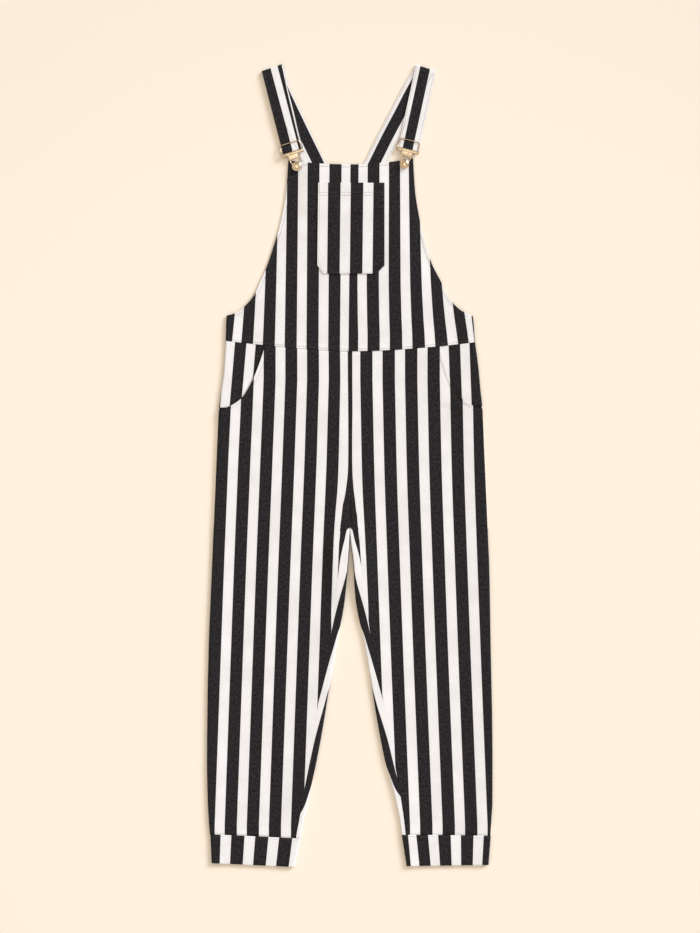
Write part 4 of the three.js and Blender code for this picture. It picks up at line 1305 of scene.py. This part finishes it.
# %% Where the stitches run
CUFF_STITCH = (4, 2.8)
STRAP_STITCH = 2.4
BIB_HIDES_BELOW = 570


def beside(path, distance):
    """A path moved to its left by a distance."""
    path = np.array(path, float)
    way = np.gradient(path, axis=0)
    way = way / np.linalg.norm(way, axis=1, keepdims=True)
    return path + distance * np.stack((-way[:, 1], way[:, 0]), axis=1)


def armhole_path(side):
    ys = np.linspace(582, TAB_TOP + 5, 90)
    xs = armhole[side](ys)
    return beside(np.stack((xs, bib_row_y(ys, xs, BIB_TOP)), axis=1), HEM_WIDTH * INWARD[side])


def mouth_path(side):
    leg = legs[side]
    ys = np.linspace(leg.waist_side - 2, leg.pocket_end, 80)
    xs = leg.mouth(ys)
    return beside(np.stack((xs, leg_row_y(leg, ys, xs)), axis=1), HEM_WIDTH * INWARD[side])


def patch_paths():
    top, shoulder, low = PATCH
    edge = PATCH_EDGE
    around = [(top[1] + edge, top[0] - 1), (shoulder[1] + edge, shoulder[0] + 1),
              (low[1] + 1, low[0] + edge), (low[2] - 1, low[0] + edge),
              (shoulder[2] - edge, shoulder[0] + 1), (top[2] - edge, top[0] - 1)]
    hems = [[(top[1] + edge, top[0] - down), (top[2] - edge, top[0] - down)] for down in PATCH_HEM]
    return [around, *hems]


def cuff_path(side):
    outer, inner = (np.array(corner) for corner in CUFF_CORNERS[side]["top"])
    in_from_end, down = CUFF_STITCH[0] * INWARD[side], CUFF_STITCH[1]
    return [outer + (in_from_end, -down), inner + (-in_from_end, -down)]


def strap_paths(side):
    facts = STRAPS[side]
    turn = math.radians(facts["tilt"])
    across = np.array([math.cos(turn), math.sin(turn)])
    rear = spline_points(facts["back"], 40)
    fold = rear[-1]
    front = np.array([fold + across * facts["sway"][0],
                      np.array(facts["front_end"]) + across * facts["sway"][1]])
    rear = rear[rear[:, 1] > BIB_HIDES_BELOW][:-1]
    inset = STRAP_WIDTH / 2 - STRAP_STITCH
    return [line + across * inset * way for line in (front, rear) for way in (-1, 1)]


xs = np.linspace(-234, 232, 160)
stitch("stitches_waist", [np.stack((xs, waist_at(xs) + WAIST_STITCH), axis=1)], [bib])
xs = np.linspace(-112, 116, 60)
ys = bib_row_y(BIB_SIDE_TOP, xs, BIB_TOP) - HEM_WIDTH
stitch("stitches_bib_top", [np.stack((xs, ys), axis=1)], [bib])
stitch("stitches_patch", patch_paths(), [patch])
for side in SIDES:
    stitch(f"stitches_armhole_{side}", [armhole_path(side)], [bib])
    stitch(f"stitches_mouth_{side}", [mouth_path(side)], [front_legs[side]])
    stitch(f"stitches_cuff_{side}", [cuff_path(side)], [cuffs[side]])
    stitch(f"stitches_strap_{side}", strap_paths(side), [straps[side]])

# %% [markdown]
# ## Metal parts with the modelling tools
#
# The buckles and buttons are hard, so we model them as by hand: start from a primitive, enter edit
# mode, extrude, scale, inset and bevel. `select_points` picks what the next tool works on, by a
# test on its place, as a click would.

# %% Tools for metal parts
def begin(name, add_primitive, **settings):
    """Add a primitive and open it in edit mode."""
    bpy.ops.object.select_all(action="DESELECT")
    add_primitive(**settings)
    made = bpy.context.object
    made.name = made.data.name = name
    bpy.ops.object.mode_set(mode="EDIT")
    return made


def select_points(made, test):
    """Select the vertices that pass the test, and the edges and faces between them."""
    bpy.ops.mesh.select_all(action="DESELECT")
    shape = bmesh.from_edit_mesh(made.data)
    for vertex in shape.verts:
        vertex.select_set(bool(test(vertex.co / MM)))
    shape.select_flush(True)
    bmesh.update_edit_mesh(made.data)


def close(made, **modifiers):
    """Leave edit mode, then add and apply modifiers in the order given."""
    bpy.ops.object.mode_set(mode="OBJECT")
    for kind, settings in modifiers.items():
        modifier = made.modifiers.new(kind, kind.upper())
        for key, value in settings.items():
            setattr(modifier, key, value)
        bpy.ops.object.modifier_apply(modifier=modifier.name)
    bpy.ops.object.shade_smooth_by_angle(angle=math.radians(45))
    return made


# %% [markdown]
# ### The bar, the wire frame and the neck
#
# The bar is a cylinder pressed a little flat, with rounded ends. The frame is a flat outline with
# bevelled corners that becomes a curve with thickness, which is the quickest way to bend wire. The
# neck starts as a plane; its lower edge is extruded row by row, each row scaled to its own width
# and stepping down towards the bib, and an inset cuts the keyhole for the button.

# %% Bar and frame
BUCKLE_HEIGHT = 5.75
BEVEL_ANGLE = 50
BAR = {"half": 21.7, "radius": 3.5, "flat": 0.4, "bevel": 1.0}
FRAME = {"low": 20.9, "high": 18.7, "rise": 20.6, "wire": 0.9, "corner": 2.6}


def buckle_bar(name):
    bar = begin(name, bpy.ops.mesh.primitive_cylinder_add, vertices=28, radius=1, depth=2)
    bpy.ops.transform.rotate(value=math.pi / 2, orient_axis="Y", center_override=(0, 0, 0))
    size = (BAR["half"] * MM, BAR["radius"] * MM, BAR["radius"] * BAR["flat"] * MM)
    bpy.ops.transform.resize(value=size, center_override=(0, 0, 0))
    bpy.ops.transform.translate(value=(0, 0, BUCKLE_HEIGHT * MM))
    return close(bar, bevel={"width": BAR["bevel"] * MM, "segments": 4, "limit_method": "ANGLE",
                             "angle_limit": math.radians(BEVEL_ANGLE)})


def buckle_frame(name):
    frame_wire = begin(name, bpy.ops.mesh.primitive_plane_add, size=2)
    size = (FRAME["low"] * MM, FRAME["rise"] / 2 * MM, 1)
    bpy.ops.transform.resize(value=size, center_override=(0, 0, 0))
    bpy.ops.transform.translate(value=(0, FRAME["rise"] / 2 * MM, BUCKLE_HEIGHT * MM))
    select_points(frame_wire, lambda p: p.y > FRAME["rise"] / 2)
    narrow = FRAME["high"] / FRAME["low"]
    bpy.ops.transform.resize(value=(narrow, 1, 1), center_override=(0, FRAME["rise"] * MM, 0))
    bpy.ops.mesh.bevel(offset=FRAME["corner"] * MM, segments=6, affect="VERTICES")
    bpy.ops.mesh.select_all(action="SELECT")
    bpy.ops.mesh.delete(type="ONLY_FACE")
    bpy.ops.object.mode_set(mode="OBJECT")
    bpy.ops.object.convert(target="CURVE")
    bend = bpy.context.object
    bend.data.bevel_depth = FRAME["wire"] * MM
    bend.data.bevel_resolution = 3
    bpy.ops.object.convert(target="MESH")
    bpy.ops.object.shade_smooth()
    return bpy.context.object


# %% Neck with its keyhole
NECK_THICK = 1.7
NECK_BEVEL = 0.45
NECK = [
    # half width, y from the bar's middle, share of the step down to the bib
    (9.8, -1.0, 0.0), (9.8, -4.0, 0.0), (9.8, -7.0, 0.2), (9.8, -9.4, 0.5), (9.7, -12.6, 0.85),
    (9.2, -16.0, 1.0), (7.9, -20.0, 1.0), (6.9, -25.0, 1.0), (6.5, -30.2, 1.0), (4.9, -33.0, 1.0),
]
KEYHOLE = {"from": -9.0, "rim": 1.7}


def buckle_neck(name, loop_height):
    step = loop_height - BUCKLE_HEIGHT
    (half, top, _), (_, low, _) = NECK[:2]
    neck = begin(name, bpy.ops.mesh.primitive_plane_add, size=2)
    bpy.ops.transform.resize(value=(half * MM, (top - low) / 2 * MM, 1), center_override=(0, 0, 0))
    bpy.ops.transform.translate(value=(0, (top + low) / 2 * MM, BUCKLE_HEIGHT * MM))
    select_points(neck, lambda p: p.y < (top + low) / 2)
    for (before, y0, down0), (after, y1, down1) in zip(NECK[1:], NECK[2:]):
        move = (0, (y1 - y0) * MM, (down1 - down0) * step * MM)
        bpy.ops.mesh.extrude_region_move(TRANSFORM_OT_translate={"value": move})
        bpy.ops.transform.resize(value=(after / before, 1, 1), center_override=(0, 0, 0))
    select_points(neck, lambda p: p.y < KEYHOLE["from"])
    bpy.ops.mesh.inset(thickness=KEYHOLE["rim"] * MM)
    bpy.ops.mesh.delete(type="FACE")
    return close(neck, solidify={"thickness": NECK_THICK * MM, "offset": 0},
                 bevel={"width": NECK_BEVEL * MM, "segments": 2, "limit_method": "ANGLE",
                        "angle_limit": math.radians(BEVEL_ANGLE)},
                 subsurf={"levels": 2})


# %% [markdown]
# ### The button
#
# A rivet button is a stack of circles: the post, the flange, a rolled rim and a low dome. Each one
# is the last one extruded and scaled, so the whole profile can be read from a short table.

# %% Button
BUTTON_PROFILE = [
    # radius, height above the bib
    (3.2, 0.0), (3.2, 2.8), (8.0, 2.9), (8.9, 3.3), (9.1, 3.9), (8.8, 4.4), (8.2, 4.6), (7.9, 4.7),
    (7.4, 5.1), (6.4, 5.7), (5.0, 6.2), (3.2, 6.55), (1.4, 6.7),
]


def rivet_button(name):
    first = BUTTON_PROFILE[0][0]
    made = begin(name, bpy.ops.mesh.primitive_circle_add, vertices=36, radius=first * MM,
                 fill_type="NGON")
    for (before, z0), (after, z1) in zip(BUTTON_PROFILE, BUTTON_PROFILE[1:]):
        bpy.ops.mesh.extrude_region_move(TRANSFORM_OT_translate={"value": (0, 0, (z1 - z0) * MM)})
        share = after / before
        bpy.ops.transform.resize(value=(share, share, 1), center_override=(0, 0, 0))
    bpy.ops.mesh.select_all(action="SELECT")
    bpy.ops.mesh.normals_make_consistent(inside=False)
    return close(made)


# %% Place the metal parts
BUCKLES = {
    "left": {"bar": (-109.9, 598.9), "turn": 17.5},
    "right": {"bar": (111.0, 603.7), "turn": -14.0},
}
BUTTON_REACH = 26.5
LOOP_HEIGHT = 1.8


def settle(made, place, turn=0.0):
    """Turn and move a finished part, then freeze it so that it stands at the origin."""
    select_only(made)
    made.location = [v * MM for v in place]
    made.rotation_euler = (0, 0, math.radians(turn))
    bpy.ops.object.transform_apply(location=True, rotation=True, scale=True)
    return made


def gilt_metal():
    tree = Tree("gilt_metal")
    place = tree.node("ShaderNodeTexCoord").outputs["Object"]
    worn = tree.noise(place, 180.0, 3.0, 0.55)
    brushed = tree.noise(place, 1500.0, 2.0, 0.6)
    colour = tree.mix(worn.past(0.3, 0.7), linear(190, 165, 134), linear(228, 208, 180))
    return tree.finish(base_color=colour, metallic=1.0, roughness=0.12 + worn * 0.12,
                       normal=tree.bump(brushed, 0.12, 0.0001))


gold = gilt_metal()
metal = {}
for side in SIDES:
    (bar_x, bar_y), turn = BUCKLES[side]["bar"], BUCKLES[side]["turn"]
    button_x = bar_x + BUTTON_REACH * math.sin(math.radians(turn))
    button_y = bar_y - BUTTON_REACH * math.cos(math.radians(turn))
    on_bib = float(bib_top(button_x, button_y)) + CLOTH / 2
    neck = buckle_neck(f"clip_of_{side}", on_bib + LOOP_HEIGHT)
    bar, wire = buckle_bar("bar"), buckle_frame("wire")
    select_only(neck)
    bar.select_set(True)
    wire.select_set(True)
    bpy.ops.object.join()
    metal[f"buckle_{side}"] = settle(neck, (bar_x, bar_y, 0), turn)
    button = rivet_button(f"rivet_of_{side}")
    metal[f"button_{side}"] = settle(button, (button_x, button_y, on_bib + SEAM))

for node, made in metal.items():
    made.data.materials.clear()
    made.data.materials.append(gold)
    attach(made, "root")
    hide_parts(node)
    print(node, [round(v / MM, 1) for v in made.dimensions], len(made.data.polygons), "faces")

# %% [markdown]
# ## Surface and light
#
# The garment lies on a cream studio surface. Its colour is painted a little darker towards its
# corners: that is a painted falloff of light, painted shade where the light grows weaker, not a
# change in the surface itself. Most of the light is broad and even and comes from the sky. A sun
# from the upper right, as wide as a window, gives the faint warm shadow along the left and lower
# edges, and its cool colour makes up for the sky's warm one. The sky is brightest at mid height,
# dimmer overhead and dark near the horizon, because polished metal shows only what it reflects:
# without something dark to reflect the buckles would look like plastic.

# %% Surface and light
FLOOR_HALF = 4.0
FLOOR_Z = -0.0003
# the middle of the pool of light that is painted into the surface's colour
PAINTED_POOL_MIDDLE = (0.1, -0.25, 0)
SKY_LOW, SKY_MIDDLE, SKY_TOP = (0.14, 0.09, 0.06, 1), (1.0, 0.905, 0.785, 1), (0.62, 0.56, 0.48, 1)
SKY_STRENGTH = 0.94

floor_mesh = bpy.data.meshes.new("studio_surface")
floor_mesh.from_pydata([(x * FLOOR_HALF, y * FLOOR_HALF, FLOOR_Z)
                        for x, y in ((-1, -1), (1, -1), (1, 1), (-1, 1))], [], [(0, 1, 2, 3)])
surface = add_object("studio_surface", floor_mesh)
surface_tree = Tree("cream_surface")
on_floor = surface_tree.node("ShaderNodeTexCoord").outputs["Object"]
# painted shade: the surface's colour darkens away from the middle, as a falloff of light painted into
# the colour
from_middle = surface_tree.node(
    "ShaderNodeVectorMath", {"operation": "DISTANCE"}, {0: on_floor, 1: PAINTED_POOL_MIDDLE})
painted_falloff = Value(surface_tree, from_middle.outputs["Value"]).past(0.75, 1.35)
floor_with_painted_falloff = surface_tree.mix(painted_falloff, linear(245, 234, 219), linear(239, 229, 216))
floor_mesh.materials.append(surface_tree.finish(
    base_color=floor_with_painted_falloff, roughness=0.95, specular_ior_level=0.1))

world = bpy.data.worlds.new("studio")
bpy.context.scene.world = world
world.use_nodes = True
sky, links = world.node_tree.nodes, world.node_tree.links
direction = sky.new("ShaderNodeTexCoord")
parts = sky.new("ShaderNodeSeparateXYZ")
ramp = sky.new("ShaderNodeValToRGB")
bands = ramp.color_ramp.elements
bands[0].color, bands[1].color = SKY_LOW, SKY_TOP
for height, colour in ((0.25, SKY_LOW), (0.42, SKY_MIDDLE), (0.70, SKY_MIDDLE)):
    bands.new(height).color = colour
links.new(direction.outputs["Generated"], parts.inputs[0])
links.new(parts.outputs["Z"], ramp.inputs["Fac"])
links.new(ramp.outputs["Color"], sky["Background"].inputs["Color"])
sky["Background"].inputs["Strength"].default_value = SKY_STRENGTH
bpy.context.scene.view_settings.view_transform = "Standard"


def sun(name, azimuth, elevation, strength, angle, colour):
    """A sun seen in a direction, in degrees from the photo's top edge and above the surface."""
    data = bpy.data.lights.new(name, "SUN")
    data.energy = strength
    data.angle = math.radians(angle)
    data.color = colour
    a, e = math.radians(azimuth), math.radians(elevation)
    toward = Vector((math.sin(a) * math.cos(e), math.cos(a) * math.cos(e), math.sin(e)))
    add_object(name, data).rotation_euler = toward.to_track_quat("Z", "Y").to_euler()


sun("window_light", 52, 21, 2.9, 20, (0.955, 1.045, 1.18))
sun("overhead_light", 20, 86, 0.18, 26, (1.0, 0.99, 0.97))
